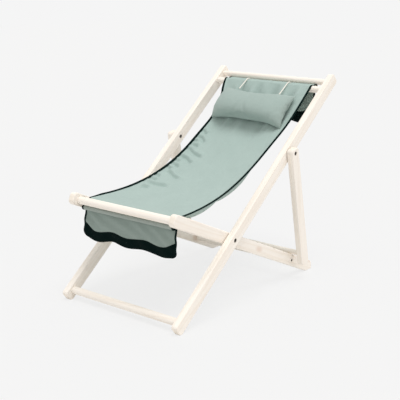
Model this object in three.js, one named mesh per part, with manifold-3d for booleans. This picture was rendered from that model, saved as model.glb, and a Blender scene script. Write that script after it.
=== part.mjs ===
// A folding sling chair: three hinged wooden frames, a removable canvas sling with a wavy valance at each
// end, and a small head pillow hung on two cords.
// Lengths are millimetres. +Z is up, the floor is Z = 0, the chair faces -Y, and left and right are the
// sitter's, so left is +X. In each frame's own group Y runs along its rails, Z across their depth and X
// across the chair.

import * as THREE from "three";
import { mergeVertices } from "three/addons/utils/BufferGeometryUtils.js";
import Module from "manifold-3d";

const wasm = await Module();
wasm.setup();

// Driving sizes of the rails, which all three frames share
const OVERALL_WIDTH = 596;
const RAIL_THICKNESS = 24;
const RAIL_DEPTH = 44;
const RAIL_EDGE_ROUND = 3;
const FRAME_GAP = 3;

// Back frame, measured up its rails from the dowel between its feet
const BACK_TILT_DEG = 38.25;
const FOOT_DOWEL_HEIGHT = 32.5;
const BACK_FOOT_OVERHANG = 35;
const SEAT_PIVOT_UP = 355;
const PROP_PIVOT_UP = 769;
const TOP_DOWEL_UP = 1133;
const BACK_SLING_DOWEL_DROP = 46;
const BACK_SLING_DOWEL_RISE = 5;
const BACK_TOP_OVERHANG = 30;
const BACK_END_ROUND = 11;

// Seat frame, measured along its rails from the pivot
const SEAT_SLOPE_DEG = 24.35;
const FRONT_DOWEL_REACH = 284;
const SEAT_FRONT_OVERHANG = 33;
const SEAT_FRONT_ROUND = 16;
const SEAT_SLING_DOWEL_BACK = 37;
const SEAT_SLING_DOWEL_RISE = 8;
const STRETCHER_REACH = 440;
const SEAT_SOLE_LENGTH = 40;
const SEAT_REAR_ROUND = 16;

// Notches in the top edge of the seat rails, the last of which takes the crossbar
const LAST_NOTCH_REACH = 432;
const NOTCH_PITCH = 67;
const NOTCH_COUNT = 3;
const NOTCH_DEPTH = 6;
const NOTCH_RAMP = 19;
const NOTCH_WALL_LEAN = 2;
const CROSSBAR_LIFT = 0.4;

// Prop frame, measured down its rails from the pivot
const PROP_HEAD_OVERHANG = 18;
const PROP_FOOT_OVERHANG = 44;
const PROP_HEAD_ROUND = 11;
const PROP_FOOT_ROUND = 18;

// Dowels
const FOOT_DOWEL_R = 14;
const TOP_DOWEL_R = 12;
const BACK_SLING_DOWEL_R = 13;
const FRONT_DOWEL_R = 14;
const SEAT_SLING_DOWEL_R = 12;
const STRETCHER_R = 11;
const CROSSBAR_R = 10;
const TENON_LENGTH = 14;

// Pivot bolts with sunk heads, their sleeve nuts and washers, and the screws of the stretcher
const BOLT_R = 4;
const BOLT_HOLE_PLAY = 0.4;
const BOLT_HEAD_R = 6.5;
const BOLT_HEAD_THICKNESS = 3;
const HEAD_SINK_R = 8;
const HEAD_SINK_DEPTH = 5;
const SOCKET_R = 2.9;
const SOCKET_DEPTH = 2;
const WASHER_R = 12;
const SCREW_R = 2.5;
const SCREW_HEAD_R = 4.5;
const SCREW_HEAD_THICKNESS = 2.5;
const SCREW_SINK_R = 5.5;
const SCREW_SINK_DEPTH = 4;
const SCREW_LENGTH = 34;

// Sling, its rods and the sleeves round them
const SLING_SIDE_GAP = 12;
const SLING_WAIST = 28;
const SLING_SAG = 102;
const SLING_BELLY = 12;
const CLOTH_THICKNESS = 2.6;
const FRONT_ROD_R = 6.5;
const TOP_ROD_R = 9.5;
const ROD_END_INSET = 3;
const FRONT_ROD_SET_BACK = 4;
const FRONT_SEAM_DROP = 4;
const SLEEVE_MOUTH_DEG = 50;
const PIPING_R = 2.2;

// Valances that hang from the sleeves, and the dark bands along their wavy hems
const VALANCE_DROP = 111;
const BACK_VALANCE_DROP = 130;
const VALANCE_WAVE = 5;
const VALANCE_WAVE_COUNT = 3;
const VALANCE_CORNER_RISE = 9;
const VALANCE_CORNER_WIDTH = 22;
const VALANCE_RIPPLE = 2.5;
const BAND_HEIGHT = 36;
const BACK_BAND_HEIGHT = 44;

// Head pillow and the cords that hang it from the upper sling dowel
const PILLOW_LENGTH = 340;
const PILLOW_HEIGHT = 168;
const PILLOW_CROWN = 32;
const PILLOW_UNDERSIDE = 22;
const PILLOW_BELOW_DOWEL = 118;
const PILLOW_TURN_DEG = 2.7;
const PILLOW_SIDE_DRAW = 6;
const PILLOW_END_DRAW = 11;
const PILLOW_REST_GAP = 0.8;
const CORD_R = 2.5;
const CORD_SPACING = 196;
const CORD_SEWN_DEG = 50;

// Clearances
const FIT = 0.3;
const CUT_OVERRUN = 5;

// How finely round shapes are divided
const ROUND_SIDES = 24;
const HARDWARE_SIDES = 16;
const SOCKET_SIDES = 6;
const CORD_SIDES = 8;
const EDGE_STEPS = 2;
const END_ARC_STEPS = 5;
const LOOP_STEP_DEG = 26;
const WRAP_STEP_DEG = 20;
const SEAT_CLOTH_STEPS = 24;
const CLOTH_COLUMNS = 6;
const VALANCE_COLUMNS = 36;
const VALANCE_ROWS = 3;
const PILLOW_COLUMNS = 16;
const PILLOW_ROWS = 12;
const PIPING_STEPS = 26;
const CORD_STEPS = 24;

// Powers that shape the pillow's crown: how late it falls to its edges, and how round its seams are
const PILLOW_EDGE_POWER = 3;
const PILLOW_SWELL_POWER = 0.55;

// Where the straight part of a pillow cord has its points, as shares of its length
const CORD_STRAIGHT_SHARES = [0, 0.4, 0.75, 0.93];

// Colours
const WOOD = { color: 0xece4d8, roughness: 0.6, metalness: 0 };
const STEEL = { color: 0x4a4744, roughness: 0.45, metalness: 0.9 };
const CANVAS = { color: 0xa9bdb4, roughness: 0.95, metalness: 0 };
const DARK_TRIM = { color: 0x101f1d, roughness: 0.9, metalness: 0 };
const PILLOW_CANVAS = { color: 0xa2b5ac, roughness: 0.95, metalness: 0 };
const COTTON_CORD = { color: 0xe8dfcb, roughness: 0.95, metalness: 0 };

const radians = THREE.MathUtils.degToRad;

// Where the frames' rails stand across the chair, from the outside in
const propRailX = OVERALL_WIDTH / 2 - RAIL_THICKNESS / 2;
const backRailX = propRailX - RAIL_THICKNESS - FRAME_GAP;
const seatRailX = backRailX - RAIL_THICKNESS - FRAME_GAP;

// Half the sling's full width, which leaves a gap beside the seat rails
const slingSide = seatRailX - RAIL_THICKNESS / 2 - SLING_SIDE_GAP;

// The groups: the seat and prop frames hang in the back frame, whose group starts at its foot dowel
const chair = new THREE.Group();
const backFrame = new THREE.Group();
backFrame.position.set(0, 0, FOOT_DOWEL_HEIGHT);
backFrame.rotation.x = radians(BACK_TILT_DEG);
chair.add(backFrame);
const seatFrame = new THREE.Group();
seatFrame.position.set(0, SEAT_PIVOT_UP, 0);
seatFrame.rotation.x = -radians(BACK_TILT_DEG + SEAT_SLOPE_DEG);
backFrame.add(seatFrame);
chair.updateMatrixWorld(true);

// The crossbar rides just over the tips of the last notch, and the prop is as long as it takes to reach it
const crossbarHeight = RAIL_DEPTH / 2 + CROSSBAR_R + CROSSBAR_LIFT;
const crossbarSeat = backFrame.worldToLocal(
  seatFrame.localToWorld(new THREE.Vector3(0, LAST_NOTCH_REACH, crossbarHeight)),
);
const propReach = new THREE.Vector2(crossbarSeat.y - PROP_PIVOT_UP, crossbarSeat.z);
const propFrame = new THREE.Group();
propFrame.position.set(0, PROP_PIVOT_UP, 0);
propFrame.rotation.x = propReach.angle();
backFrame.add(propFrame);
chair.updateMatrixWorld(true);

// A point of a frame's side view as (Y, Z) of the chair
function sidePoint(frame, along, out) {
  const p = frame.localToWorld(new THREE.Vector3(0, along, out));
  return new THREE.Vector2(p.y, p.z);
}

// Makes a named mesh and puts it in its group
function addPiece(group, name, geometry, look) {
  const mesh = new THREE.Mesh(geometry, new THREE.MeshStandardMaterial(look));
  mesh.name = name;
  group.add(mesh);
  return mesh;
}

// A closed geometry as a solid that can be cut
function toSolid(geometry) {
  const bare = new THREE.BufferGeometry();
  const source = geometry.index ? geometry.toNonIndexed() : geometry;
  bare.setAttribute("position", source.getAttribute("position"));
  const merged = mergeVertices(bare);
  return new wasm.Manifold(
    new wasm.Mesh({
      numProp: 3,
      vertProperties: new Float32Array(merged.attributes.position.array),
      triVerts: new Uint32Array(merged.index.array),
    }),
  );
}

function toGeometry(solid) {
  const mesh = solid.getMesh();
  const geometry = new THREE.BufferGeometry();
  geometry.setAttribute("position", new THREE.BufferAttribute(mesh.vertProperties, 3));
  geometry.setIndex(new THREE.BufferAttribute(mesh.triVerts, 1));
  const faceted = geometry.toNonIndexed();
  faceted.computeVertexNormals();
  return faceted;
}

function cut(geometry, tools) {
  return toGeometry(tools.reduce((solid, tool) => solid.subtract(toSolid(tool)), toSolid(geometry)));
}

// A round bar across the chair from x0 to x1, at (y, z) of its group
function barAcross(radius, x0, x1, y, z, sides = ROUND_SIDES) {
  const bar = new THREE.CylinderGeometry(radius, radius, Math.abs(x1 - x0), sides);
  bar.rotateZ(-Math.PI / 2);
  bar.translate((x0 + x1) / 2, y, z);
  return bar;
}

// A side view drawn as a shape in (Y, Z) and extruded across the chair, with rounded long edges
function extrudeAcross(shape, thickness, edgeRound) {
  const geometry = new THREE.ExtrudeGeometry(shape, {
    depth: thickness - 2 * edgeRound,
    bevelEnabled: edgeRound > 0,
    bevelThickness: edgeRound,
    bevelSize: edgeRound,
    bevelOffset: -edgeRound,
    bevelSegments: EDGE_STEPS,
    curveSegments: END_ARC_STEPS,
  });
  geometry.translate(0, 0, edgeRound - thickness / 2);
  const across = new THREE.Matrix4().makeBasis(
    new THREE.Vector3(0, 1, 0),
    new THREE.Vector3(0, 0, 1),
    new THREE.Vector3(1, 0, 0),
  );
  return geometry.applyMatrix4(across);
}

// A rail's side view from start to end, with the corners of each end rounded
function railShape(start, end, startRound, endRound) {
  const half = RAIL_DEPTH / 2;
  const r0 = Math.min(startRound, half);
  const r1 = Math.min(endRound, half);
  const shape = new THREE.Shape();
  shape.moveTo(start + r0, -half);
  shape.lineTo(end - r1, -half);
  shape.absarc(end - r1, -half + r1, r1, -Math.PI / 2, 0);
  shape.lineTo(end, half - r1);
  shape.absarc(end - r1, half - r1, r1, 0, Math.PI / 2);
  shape.lineTo(start + r0, half);
  shape.absarc(start + r0, half - r0, r0, Math.PI / 2, Math.PI);
  shape.lineTo(start, -half + r0);
  shape.absarc(start + r0, -half + r0, r0, Math.PI, 1.5 * Math.PI);
  return shape;
}

// The blind hole in a rail's inner face that takes a dowel's end
function tenonHole(side, railX, radius, along, out) {
  const innerX = side * (railX - RAIL_THICKNESS / 2);
  const from = innerX - side * CUT_OVERRUN;
  const to = innerX + side * (TENON_LENGTH + FIT);
  return barAcross((radius + FIT) / Math.cos(Math.PI / ROUND_SIDES), from, to, along, out);
}

// A bolt's hole through a rail, and the wider sink in one of its faces
function boltHole(side, railX, along) {
  const half = RAIL_THICKNESS / 2 + CUT_OVERRUN;
  const radius = BOLT_R + BOLT_HOLE_PLAY;
  return barAcross(radius, side * railX - half, side * railX + half, along, 0, HARDWARE_SIDES);
}

function sink(side, railX, face, radius, depth, along) {
  const faceX = side * (railX + (face * RAIL_THICKNESS) / 2);
  const from = faceX + side * face * CUT_OVERRUN;
  return barAcross(radius, from, faceX - side * face * depth, along, 0, HARDWARE_SIDES);
}

// What lies under the floor, to saw a foot off level, in the group's own place
function floorBlock(group) {
  const reach = 2 * TOP_DOWEL_UP;
  const block = new THREE.BoxGeometry(reach, 2 * reach, RAIL_DEPTH * 2);
  block.translate(0, 0, -RAIL_DEPTH);
  return block.applyMatrix4(group.matrixWorld.clone().invert());
}

// A seat rail's side view. Its rear end is sawn level on the floor and upright behind, with a rounded top
// corner.
function seatRailShape() {
  const half = RAIL_DEPTH / 2;
  const slope = radians(SEAT_SLOPE_DEG);
  const pivotHeight = sidePoint(seatFrame, 0, 0).y;
  const rearward = new THREE.Vector2(Math.cos(slope), Math.sin(slope));
  const upward = new THREE.Vector2(-Math.sin(slope), Math.cos(slope));
  const toe = new THREE.Vector2((pivotHeight - half * Math.cos(slope)) / Math.sin(slope), -half);
  const heel = toe.clone().addScaledVector(rearward, SEAT_SOLE_LENGTH);
  const corner = heel.clone().addScaledVector(upward, (half - heel.y) / upward.y);
  const start = -FRONT_DOWEL_REACH - SEAT_FRONT_OVERHANG;
  const r = Math.min(SEAT_FRONT_ROUND, half);
  const cornerRound = Math.min(SEAT_REAR_ROUND, corner.distanceTo(heel) / 2);
  const underCorner = corner.clone().addScaledVector(upward, -cornerRound);
  const shape = new THREE.Shape();
  shape.moveTo(start + r, -half);
  shape.lineTo(toe.x, toe.y);
  shape.lineTo(heel.x, heel.y);
  shape.lineTo(underCorner.x, underCorner.y);
  shape.quadraticCurveTo(corner.x, corner.y, corner.x - cornerRound, half);
  shape.lineTo(start + r, half);
  shape.absarc(start + r, half - r, r, Math.PI / 2, Math.PI);
  shape.lineTo(start, -half + r);
  shape.absarc(start + r, -half + r, r, Math.PI, 1.5 * Math.PI);
  return shape;
}

function placedAcross(geometry, x) {
  geometry.translate(x, 0, 0);
  return geometry;
}

// One notch: a gentle ramp down towards the rear and a steep wall that holds the crossbar
function notch(reach, side) {
  const top = RAIL_DEPTH / 2;
  const wall = reach + NOTCH_RAMP / 2;
  const shape = new THREE.Shape();
  shape.moveTo(wall - NOTCH_RAMP, top);
  shape.lineTo(wall - NOTCH_WALL_LEAN, top - NOTCH_DEPTH);
  shape.lineTo(wall, top);
  shape.lineTo(wall, top + CUT_OVERRUN);
  shape.lineTo(wall - NOTCH_RAMP, top + CUT_OVERRUN);
  shape.closePath();
  return placedAcross(extrudeAcross(shape, RAIL_THICKNESS + 2 * CUT_OVERRUN, 0), side * seatRailX);
}

const SIDES = [
  { name: "left", side: 1 },
  { name: "right", side: -1 },
];

const topDowel = { along: TOP_DOWEL_UP, out: 0 };
const backSlingDowel = { along: TOP_DOWEL_UP - BACK_SLING_DOWEL_DROP, out: BACK_SLING_DOWEL_RISE };
const frontDowel = { along: -FRONT_DOWEL_REACH, out: 0 };
const seatSlingDowel = { along: -FRONT_DOWEL_REACH + SEAT_SLING_DOWEL_BACK, out: SEAT_SLING_DOWEL_RISE };

function buildBackFrame() {
  const start = -BACK_FOOT_OVERHANG;
  const end = TOP_DOWEL_UP + BACK_TOP_OVERHANG;
  for (const { name, side } of SIDES) {
    const blank = extrudeAcross(
      railShape(start, end, BACK_END_ROUND, BACK_END_ROUND),
      RAIL_THICKNESS,
      RAIL_EDGE_ROUND,
    );
    const rail = cut(placedAcross(blank, side * backRailX), [
      floorBlock(backFrame),
      tenonHole(side, backRailX, FOOT_DOWEL_R, 0, 0),
      tenonHole(side, backRailX, TOP_DOWEL_R, topDowel.along, topDowel.out),
      tenonHole(side, backRailX, BACK_SLING_DOWEL_R, backSlingDowel.along, backSlingDowel.out),
      boltHole(side, backRailX, SEAT_PIVOT_UP),
      sink(side, backRailX, 1, HEAD_SINK_R, HEAD_SINK_DEPTH, SEAT_PIVOT_UP),
      boltHole(side, backRailX, PROP_PIVOT_UP),
      sink(side, backRailX, -1, HEAD_SINK_R, HEAD_SINK_DEPTH, PROP_PIVOT_UP),
    ]);
    addPiece(backFrame, "back_rail_" + name, rail, WOOD);
  }
  const dowelEnd = backRailX - RAIL_THICKNESS / 2 + TENON_LENGTH;
  const dowel = (radius, { along, out }) => barAcross(radius, -dowelEnd, dowelEnd, along, out);
  addPiece(backFrame, "back_foot_dowel", dowel(FOOT_DOWEL_R, { along: 0, out: 0 }), WOOD);
  addPiece(backFrame, "back_top_dowel", dowel(TOP_DOWEL_R, topDowel), WOOD);
  addPiece(backFrame, "back_sling_dowel", dowel(BACK_SLING_DOWEL_R, backSlingDowel), WOOD);
}

function buildSeatFrame() {
  for (const { name, side } of SIDES) {
    const blank = extrudeAcross(seatRailShape(), RAIL_THICKNESS, RAIL_EDGE_ROUND);
    const notches = [];
    for (let i = 0; i < NOTCH_COUNT; i++) notches.push(notch(LAST_NOTCH_REACH - i * NOTCH_PITCH, side));
    const rail = cut(placedAcross(blank, side * seatRailX), [
      ...notches,
      tenonHole(side, seatRailX, FRONT_DOWEL_R, frontDowel.along, frontDowel.out),
      tenonHole(side, seatRailX, SEAT_SLING_DOWEL_R, seatSlingDowel.along, seatSlingDowel.out),
      tenonHole(side, seatRailX, STRETCHER_R, STRETCHER_REACH, 0),
      boltHole(side, seatRailX, 0),
      sink(side, seatRailX, -1, HEAD_SINK_R, HEAD_SINK_DEPTH, 0),
      sink(side, seatRailX, 1, SCREW_SINK_R, SCREW_SINK_DEPTH, STRETCHER_REACH),
      sink(side, seatRailX, 1, SCREW_R + FIT, RAIL_THICKNESS - TENON_LENGTH + CUT_OVERRUN, STRETCHER_REACH),
    ]);
    addPiece(seatFrame, "seat_rail_" + name, rail, WOOD);
  }
  const dowelEnd = seatRailX - RAIL_THICKNESS / 2 + TENON_LENGTH;
  const dowel = (radius, { along, out }) => barAcross(radius, -dowelEnd, dowelEnd, along, out);
  addPiece(seatFrame, "seat_front_dowel", dowel(FRONT_DOWEL_R, frontDowel), WOOD);
  addPiece(seatFrame, "seat_sling_dowel", dowel(SEAT_SLING_DOWEL_R, seatSlingDowel), WOOD);
  buildStretcher(dowelEnd);
}

// The stretcher under the notches, and the sunk screw through each rail into its end
function buildStretcher(dowelEnd) {
  const outerFace = seatRailX + RAIL_THICKNESS / 2;
  const headUnder = outerFace - SCREW_SINK_DEPTH + FIT;
  const tip = headUnder - SCREW_LENGTH;
  const pilots = SIDES.map(({ side }) =>
    barAcross(
      SCREW_R + FIT,
      side * (dowelEnd + CUT_OVERRUN),
      side * (tip - FIT),
      STRETCHER_REACH,
      0,
      HARDWARE_SIDES,
    ),
  );
  const bar = barAcross(STRETCHER_R, -dowelEnd, dowelEnd, STRETCHER_REACH, 0);
  addPiece(seatFrame, "seat_stretcher", cut(bar, pilots), WOOD);
  for (const { name, side } of SIDES) {
    const screw = headedPin(SCREW_R, SCREW_LENGTH, SCREW_HEAD_R, SCREW_HEAD_THICKNESS);
    turnAcross(screw, side, headUnder, STRETCHER_REACH);
    addPiece(seatFrame, "stretcher_screw_" + name, screw, STEEL);
  }
}

// A pin along Y with its head up, its neck at Y = 0, and a hexagon socket in the head
function headedPin(radius, length, headRadius, headThickness) {
  const profile = [
    [0, -length],
    [radius, -length],
    [radius, 0],
    [headRadius, 0],
    [headRadius, headThickness],
    [0, headThickness],
  ].map(([r, y]) => new THREE.Vector2(r, y));
  const pin = new THREE.LatheGeometry(profile, HARDWARE_SIDES);
  const depth = Math.min(SOCKET_DEPTH, headThickness / 2);
  const socket = new THREE.CylinderGeometry(SOCKET_R, SOCKET_R, depth + CUT_OVERRUN, SOCKET_SIDES);
  socket.translate(0, headThickness - depth + (depth + CUT_OVERRUN) / 2, 0);
  return cut(pin, [socket]);
}

// Turns a piece made along Y so that its +Y end points outwards on one side of the chair
function turnAcross(geometry, side, x, along) {
  geometry.rotateZ((-side * Math.PI) / 2);
  geometry.translate(side * x, along, 0);
  return geometry;
}

function ring(outer, inner, thickness) {
  const profile = [
    [inner, 0],
    [outer, 0],
    [outer, thickness],
    [inner, thickness],
    [inner, 0],
  ].map(([r, y]) => new THREE.Vector2(r, y));
  return new THREE.LatheGeometry(profile, HARDWARE_SIDES);
}

// A pivot through an outer and an inner rail: a sunk bolt, a washer between the rails and a sunk nut
function buildPivot(label, along, outerRailX) {
  const innerRailX = outerRailX - RAIL_THICKNESS - FRAME_GAP;
  const headUnder = outerRailX + RAIL_THICKNESS / 2 - HEAD_SINK_DEPTH + FIT;
  const nutUnder = innerRailX - RAIL_THICKNESS / 2 + HEAD_SINK_DEPTH - FIT;
  const hole = BOLT_R + BOLT_HOLE_PLAY;
  const boltLength = headUnder - nutUnder + BOLT_HEAD_THICKNESS;
  for (const { name, side } of SIDES) {
    const bolt = headedPin(BOLT_R, boltLength, BOLT_HEAD_R, BOLT_HEAD_THICKNESS);
    addPiece(backFrame, label + "_bolt_" + name, turnAcross(bolt, side, headUnder, along), STEEL);
    const nut = ring(BOLT_HEAD_R, hole, BOLT_HEAD_THICKNESS);
    const nutX = nutUnder - BOLT_HEAD_THICKNESS;
    addPiece(backFrame, label + "_nut_" + name, turnAcross(nut, side, nutX, along), STEEL);
    const washer = ring(WASHER_R, hole, FRAME_GAP - 2 * FIT);
    const washerX = innerRailX + RAIL_THICKNESS / 2 + FIT;
    addPiece(backFrame, label + "_washer_" + name, turnAcross(washer, side, washerX, along), STEEL);
  }
}

function buildPropFrame() {
  const reach = propReach.length();
  for (const { name, side } of SIDES) {
    const blank = extrudeAcross(
      railShape(-PROP_HEAD_OVERHANG, reach + PROP_FOOT_OVERHANG, PROP_HEAD_ROUND, PROP_FOOT_ROUND),
      RAIL_THICKNESS,
      RAIL_EDGE_ROUND,
    );
    const rail = cut(placedAcross(blank, side * propRailX), [
      tenonHole(side, propRailX, CROSSBAR_R, reach, 0),
      boltHole(side, propRailX, 0),
      sink(side, propRailX, 1, HEAD_SINK_R, HEAD_SINK_DEPTH, 0),
    ]);
    addPiece(propFrame, "prop_rail_" + name, rail, WOOD);
  }
  const barEnd = propRailX - RAIL_THICKNESS / 2 + TENON_LENGTH;
  addPiece(propFrame, "prop_crossbar", barAcross(CROSSBAR_R, -barEnd, barEnd, reach, 0), WOOD);
}

// A closed thin sheet. middle[row][column] are points of its middle surface, half is half its thickness.
function sheetGeometry(middle, half) {
  const rows = middle.length;
  const columns = middle[0].length;
  const clamp = (value, most) => Math.max(0, Math.min(most, value));
  const at = (row, column) => middle[clamp(row, rows - 1)][clamp(column, columns - 1)];
  const points = [];
  for (const direction of [1, -1]) {
    for (let i = 0; i < rows; i++) {
      for (let j = 0; j < columns; j++) {
        const along = at(i + 1, j).clone().sub(at(i - 1, j));
        const across = at(i, j + 1).clone().sub(at(i, j - 1));
        const normal = across.cross(along).normalize();
        points.push(at(i, j).clone().addScaledVector(normal, direction * half));
      }
    }
  }
  const index = [];
  const layer = rows * columns;
  const quad = (a, b, c, d) => index.push(a, b, c, a, c, d);
  for (let i = 0; i + 1 < rows; i++) {
    for (let j = 0; j + 1 < columns; j++) {
      const a = i * columns + j;
      quad(a, a + 1, a + columns + 1, a + columns);
      quad(layer + a, layer + a + columns, layer + a + columns + 1, layer + a + 1);
    }
  }
  for (let j = 0; j + 1 < columns; j++) {
    const last = (rows - 1) * columns;
    quad(j + 1, j, layer + j, layer + j + 1);
    quad(last + j, last + j + 1, layer + last + j + 1, layer + last + j);
  }
  for (let i = 0; i + 1 < rows; i++) {
    const a = i * columns;
    const b = a + columns - 1;
    quad(a, a + columns, layer + a + columns, layer + a);
    quad(b + columns, b, layer + b, layer + b + columns);
  }
  const geometry = new THREE.BufferGeometry().setFromPoints(points);
  geometry.setIndex(index);
  const faceted = geometry.toNonIndexed();
  faceted.computeVertexNormals();
  return faceted;
}

// An arc of a side view as points, from one angle to another in degrees, both ends included
function arcPoints(centre, radius, from, to, step) {
  const count = Math.max(1, Math.ceil(Math.abs(to - from) / step));
  const points = [];
  for (let i = 0; i <= count; i++) {
    const angle = radians(from + ((to - from) * i) / count);
    points.push(new THREE.Vector2(Math.cos(angle), Math.sin(angle)).multiplyScalar(radius).add(centre));
  }
  return points;
}

// The direction, in degrees, of the line that leaves one circle on its left and the next on its right
function crossingTangent(first, firstRadius, second, secondRadius) {
  const gap = second.clone().sub(first);
  return THREE.MathUtils.radToDeg(gap.angle() + Math.asin((firstRadius + secondRadius) / gap.length()));
}

const clothHalf = CLOTH_THICKNESS / 2;
const frontSleeveR = FRONT_ROD_R + FIT + clothHalf;
const topSleeveR = TOP_ROD_R + FIT + clothHalf;
const frontDowelAt = sidePoint(seatFrame, frontDowel.along, frontDowel.out);
const seatSlingAt = sidePoint(seatFrame, seatSlingDowel.along, seatSlingDowel.out);
const topDowelAt = sidePoint(backFrame, topDowel.along, topDowel.out);
const backSlingAt = sidePoint(backFrame, backSlingDowel.along, backSlingDowel.out);
const seatWrapR = SEAT_SLING_DOWEL_R + FIT + clothHalf;
const backWrapR = BACK_SLING_DOWEL_R + FIT + clothHalf;

// The front rod hangs under the front dowel, and the top rod sits behind both upper dowels
const frontRodAt = new THREE.Vector2(
  frontDowelAt.x + FRONT_ROD_SET_BACK,
  frontDowelAt.y - (FRONT_DOWEL_R + frontSleeveR + clothHalf + FIT),
);
const topRodAt = circleTouching(
  backSlingAt,
  BACK_SLING_DOWEL_R + topSleeveR + clothHalf + 2 * FIT,
  topDowelAt,
  TOP_DOWEL_R + topSleeveR + clothHalf + 2 * FIT,
);

// The point at given distances from two others, on the right of the line from the first to the second
function circleTouching(first, firstDistance, second, secondDistance) {
  const line = second.clone().sub(first);
  const length = line.length();
  const along = (firstDistance ** 2 - secondDistance ** 2 + length ** 2) / (2 * length);
  const off = Math.sqrt(Math.max(0, firstDistance ** 2 - along ** 2));
  line.normalize();
  return new THREE.Vector2(line.y, -line.x).multiplyScalar(off).addScaledVector(line, along).add(first);
}

// The sling's sag, as a share of its depth, at a share of the way from the seat dowel to the back dowel
const sagShare = (share) => 4 * share * (1 - share);

// The sling's side view, from the end of its front sleeve to the end of its top sleeve.
// Each point says how far it is across the seat, as a share, or null where it isn't over the seat.
function slingPath() {
  const leave = crossingTangent(frontRodAt, frontSleeveR, seatSlingAt, seatWrapR);
  const arrive = crossingTangentDown();
  const chord = backSlingAt.clone().sub(seatSlingAt);
  const chordDeg = THREE.MathUtils.radToDeg(chord.angle());
  const dip = THREE.MathUtils.radToDeg(Math.atan((4 * SLING_SAG) / chord.length()));
  const seatDirection = chordDeg - dip;
  const backDirection = chordDeg + dip;
  const loop = (points) => points.map((point) => ({ point, share: null }));
  const start = arcPoints(seatSlingAt, seatWrapR, seatDirection + 90, seatDirection + 90, WRAP_STEP_DEG)[0];
  const end = arcPoints(backSlingAt, backWrapR, backDirection + 90, backDirection + 90, WRAP_STEP_DEG)[0];
  const seat = [];
  const span = end.clone().sub(start);
  const down = new THREE.Vector2(span.y, -span.x).normalize();
  for (let i = 1; i < SEAT_CLOTH_STEPS; i++) {
    const share = i / SEAT_CLOTH_STEPS;
    const point = start.clone().addScaledVector(span, share);
    seat.push({ point: point.addScaledVector(down, SLING_SAG * sagShare(share)), share });
  }
  const wound = 360 - SLEEVE_MOUTH_DEG;
  return [
    ...loop(arcPoints(frontRodAt, frontSleeveR, leave - 90 - wound, leave - 90, LOOP_STEP_DEG)),
    ...loop(arcPoints(seatSlingAt, seatWrapR, leave + 90, seatDirection + 90, WRAP_STEP_DEG)),
    ...seat,
    ...loop(arcPoints(backSlingAt, backWrapR, backDirection + 90, arrive + 90, WRAP_STEP_DEG)),
    ...loop(arcPoints(topRodAt, topSleeveR, arrive - 90, arrive - 90 + wound, LOOP_STEP_DEG)),
  ];
}

// The direction of the line from over the upper sling dowel to the front of the top rod
function crossingTangentDown() {
  const gap = topRodAt.clone().sub(backSlingAt);
  const turn = Math.asin((backWrapR + topSleeveR) / gap.length());
  return THREE.MathUtils.radToDeg(Math.atan2(gap.y, gap.x) - turn);
}

// Half the sling's width, and how far its middle hangs below its edges, at a share of the way over the seat
const halfWidth = (share) => slingSide - (share === null ? 0 : SLING_WAIST * sagShare(share));
const belly = (share) => (share === null ? 0 : SLING_BELLY * sagShare(share));

function buildSling() {
  const path = slingPath();
  const middle = path.map(({ point, share }) => {
    const row = [];
    for (let j = 0; j <= CLOTH_COLUMNS; j++) {
      const across = (2 * j) / CLOTH_COLUMNS - 1;
      const low = belly(share) * (1 - across ** 2);
      row.push(new THREE.Vector3(across * halfWidth(share), point.x, point.y - low));
    }
    return row;
  });
  addPiece(chair, "sling", sheetGeometry(middle, clothHalf), CANVAS);
  for (const { name, side } of SIDES) {
    const edge = path
      .filter(({ share }) => share !== null)
      .map(({ point, share }) => {
        const x = side * (halfWidth(share) + PIPING_R + FIT);
        return new THREE.Vector3(x, point.x, point.y);
      });
    addPiece(chair, "sling_piping_" + name, tube(edge, PIPING_R, PIPING_STEPS), DARK_TRIM);
  }
  const rodEnd = slingSide - ROD_END_INSET;
  const rods = [
    { name: "sling_rod_front", radius: FRONT_ROD_R, at: frontRodAt },
    { name: "sling_rod_top", radius: TOP_ROD_R, at: topRodAt },
  ];
  for (const { name, radius, at } of rods) {
    addPiece(chair, name, barAcross(radius, -rodEnd, rodEnd, at.x, at.y, HARDWARE_SIDES), WOOD);
  }
}

// A round tube through points
function tube(points, radius, steps) {
  const section = new THREE.Shape();
  section.absarc(0, 0, radius, 0, 2 * Math.PI);
  return new THREE.ExtrudeGeometry(section, {
    extrudePath: new THREE.CatmullRomCurve3(points),
    steps,
    curveSegments: CORD_SIDES / 2,
    bevelEnabled: false,
  });
}

// How far a valance's hem, at a share across it, lies above its lowest line: waves and turned-up corners
function hemRise(share) {
  const wave = VALANCE_WAVE * (1 + Math.cos(2 * Math.PI * VALANCE_WAVE_COUNT * share));
  const fromSide = Math.min(share, 1 - share) * 2 * slingSide;
  const turn = Math.max(0, 1 - fromSide / VALANCE_CORNER_WIDTH);
  return wave + VALANCE_CORNER_RISE * (1 - Math.sqrt(1 - turn ** 2)) - VALANCE_WAVE * turn ** 2;
}

// A hanging strip between two heights, which are functions of the share across it, with shallow folds
function hangingStrip(y, topAt, drop, topOf, bottomOf) {
  const middle = [];
  for (let i = 0; i <= VALANCE_ROWS; i++) {
    const row = [];
    for (let j = 0; j <= VALANCE_COLUMNS; j++) {
      const share = j / VALANCE_COLUMNS;
      const z = THREE.MathUtils.lerp(bottomOf(share), topOf(share), i / VALANCE_ROWS);
      const hang = (topAt - z) / drop;
      const fold = VALANCE_RIPPLE * hang * Math.sin(2 * Math.PI * (VALANCE_WAVE_COUNT + 1) * share);
      row.push(new THREE.Vector3((2 * share - 1) * slingSide, y + fold, z));
    }
    middle.push(row);
  }
  return sheetGeometry(middle, clothHalf);
}

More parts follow.
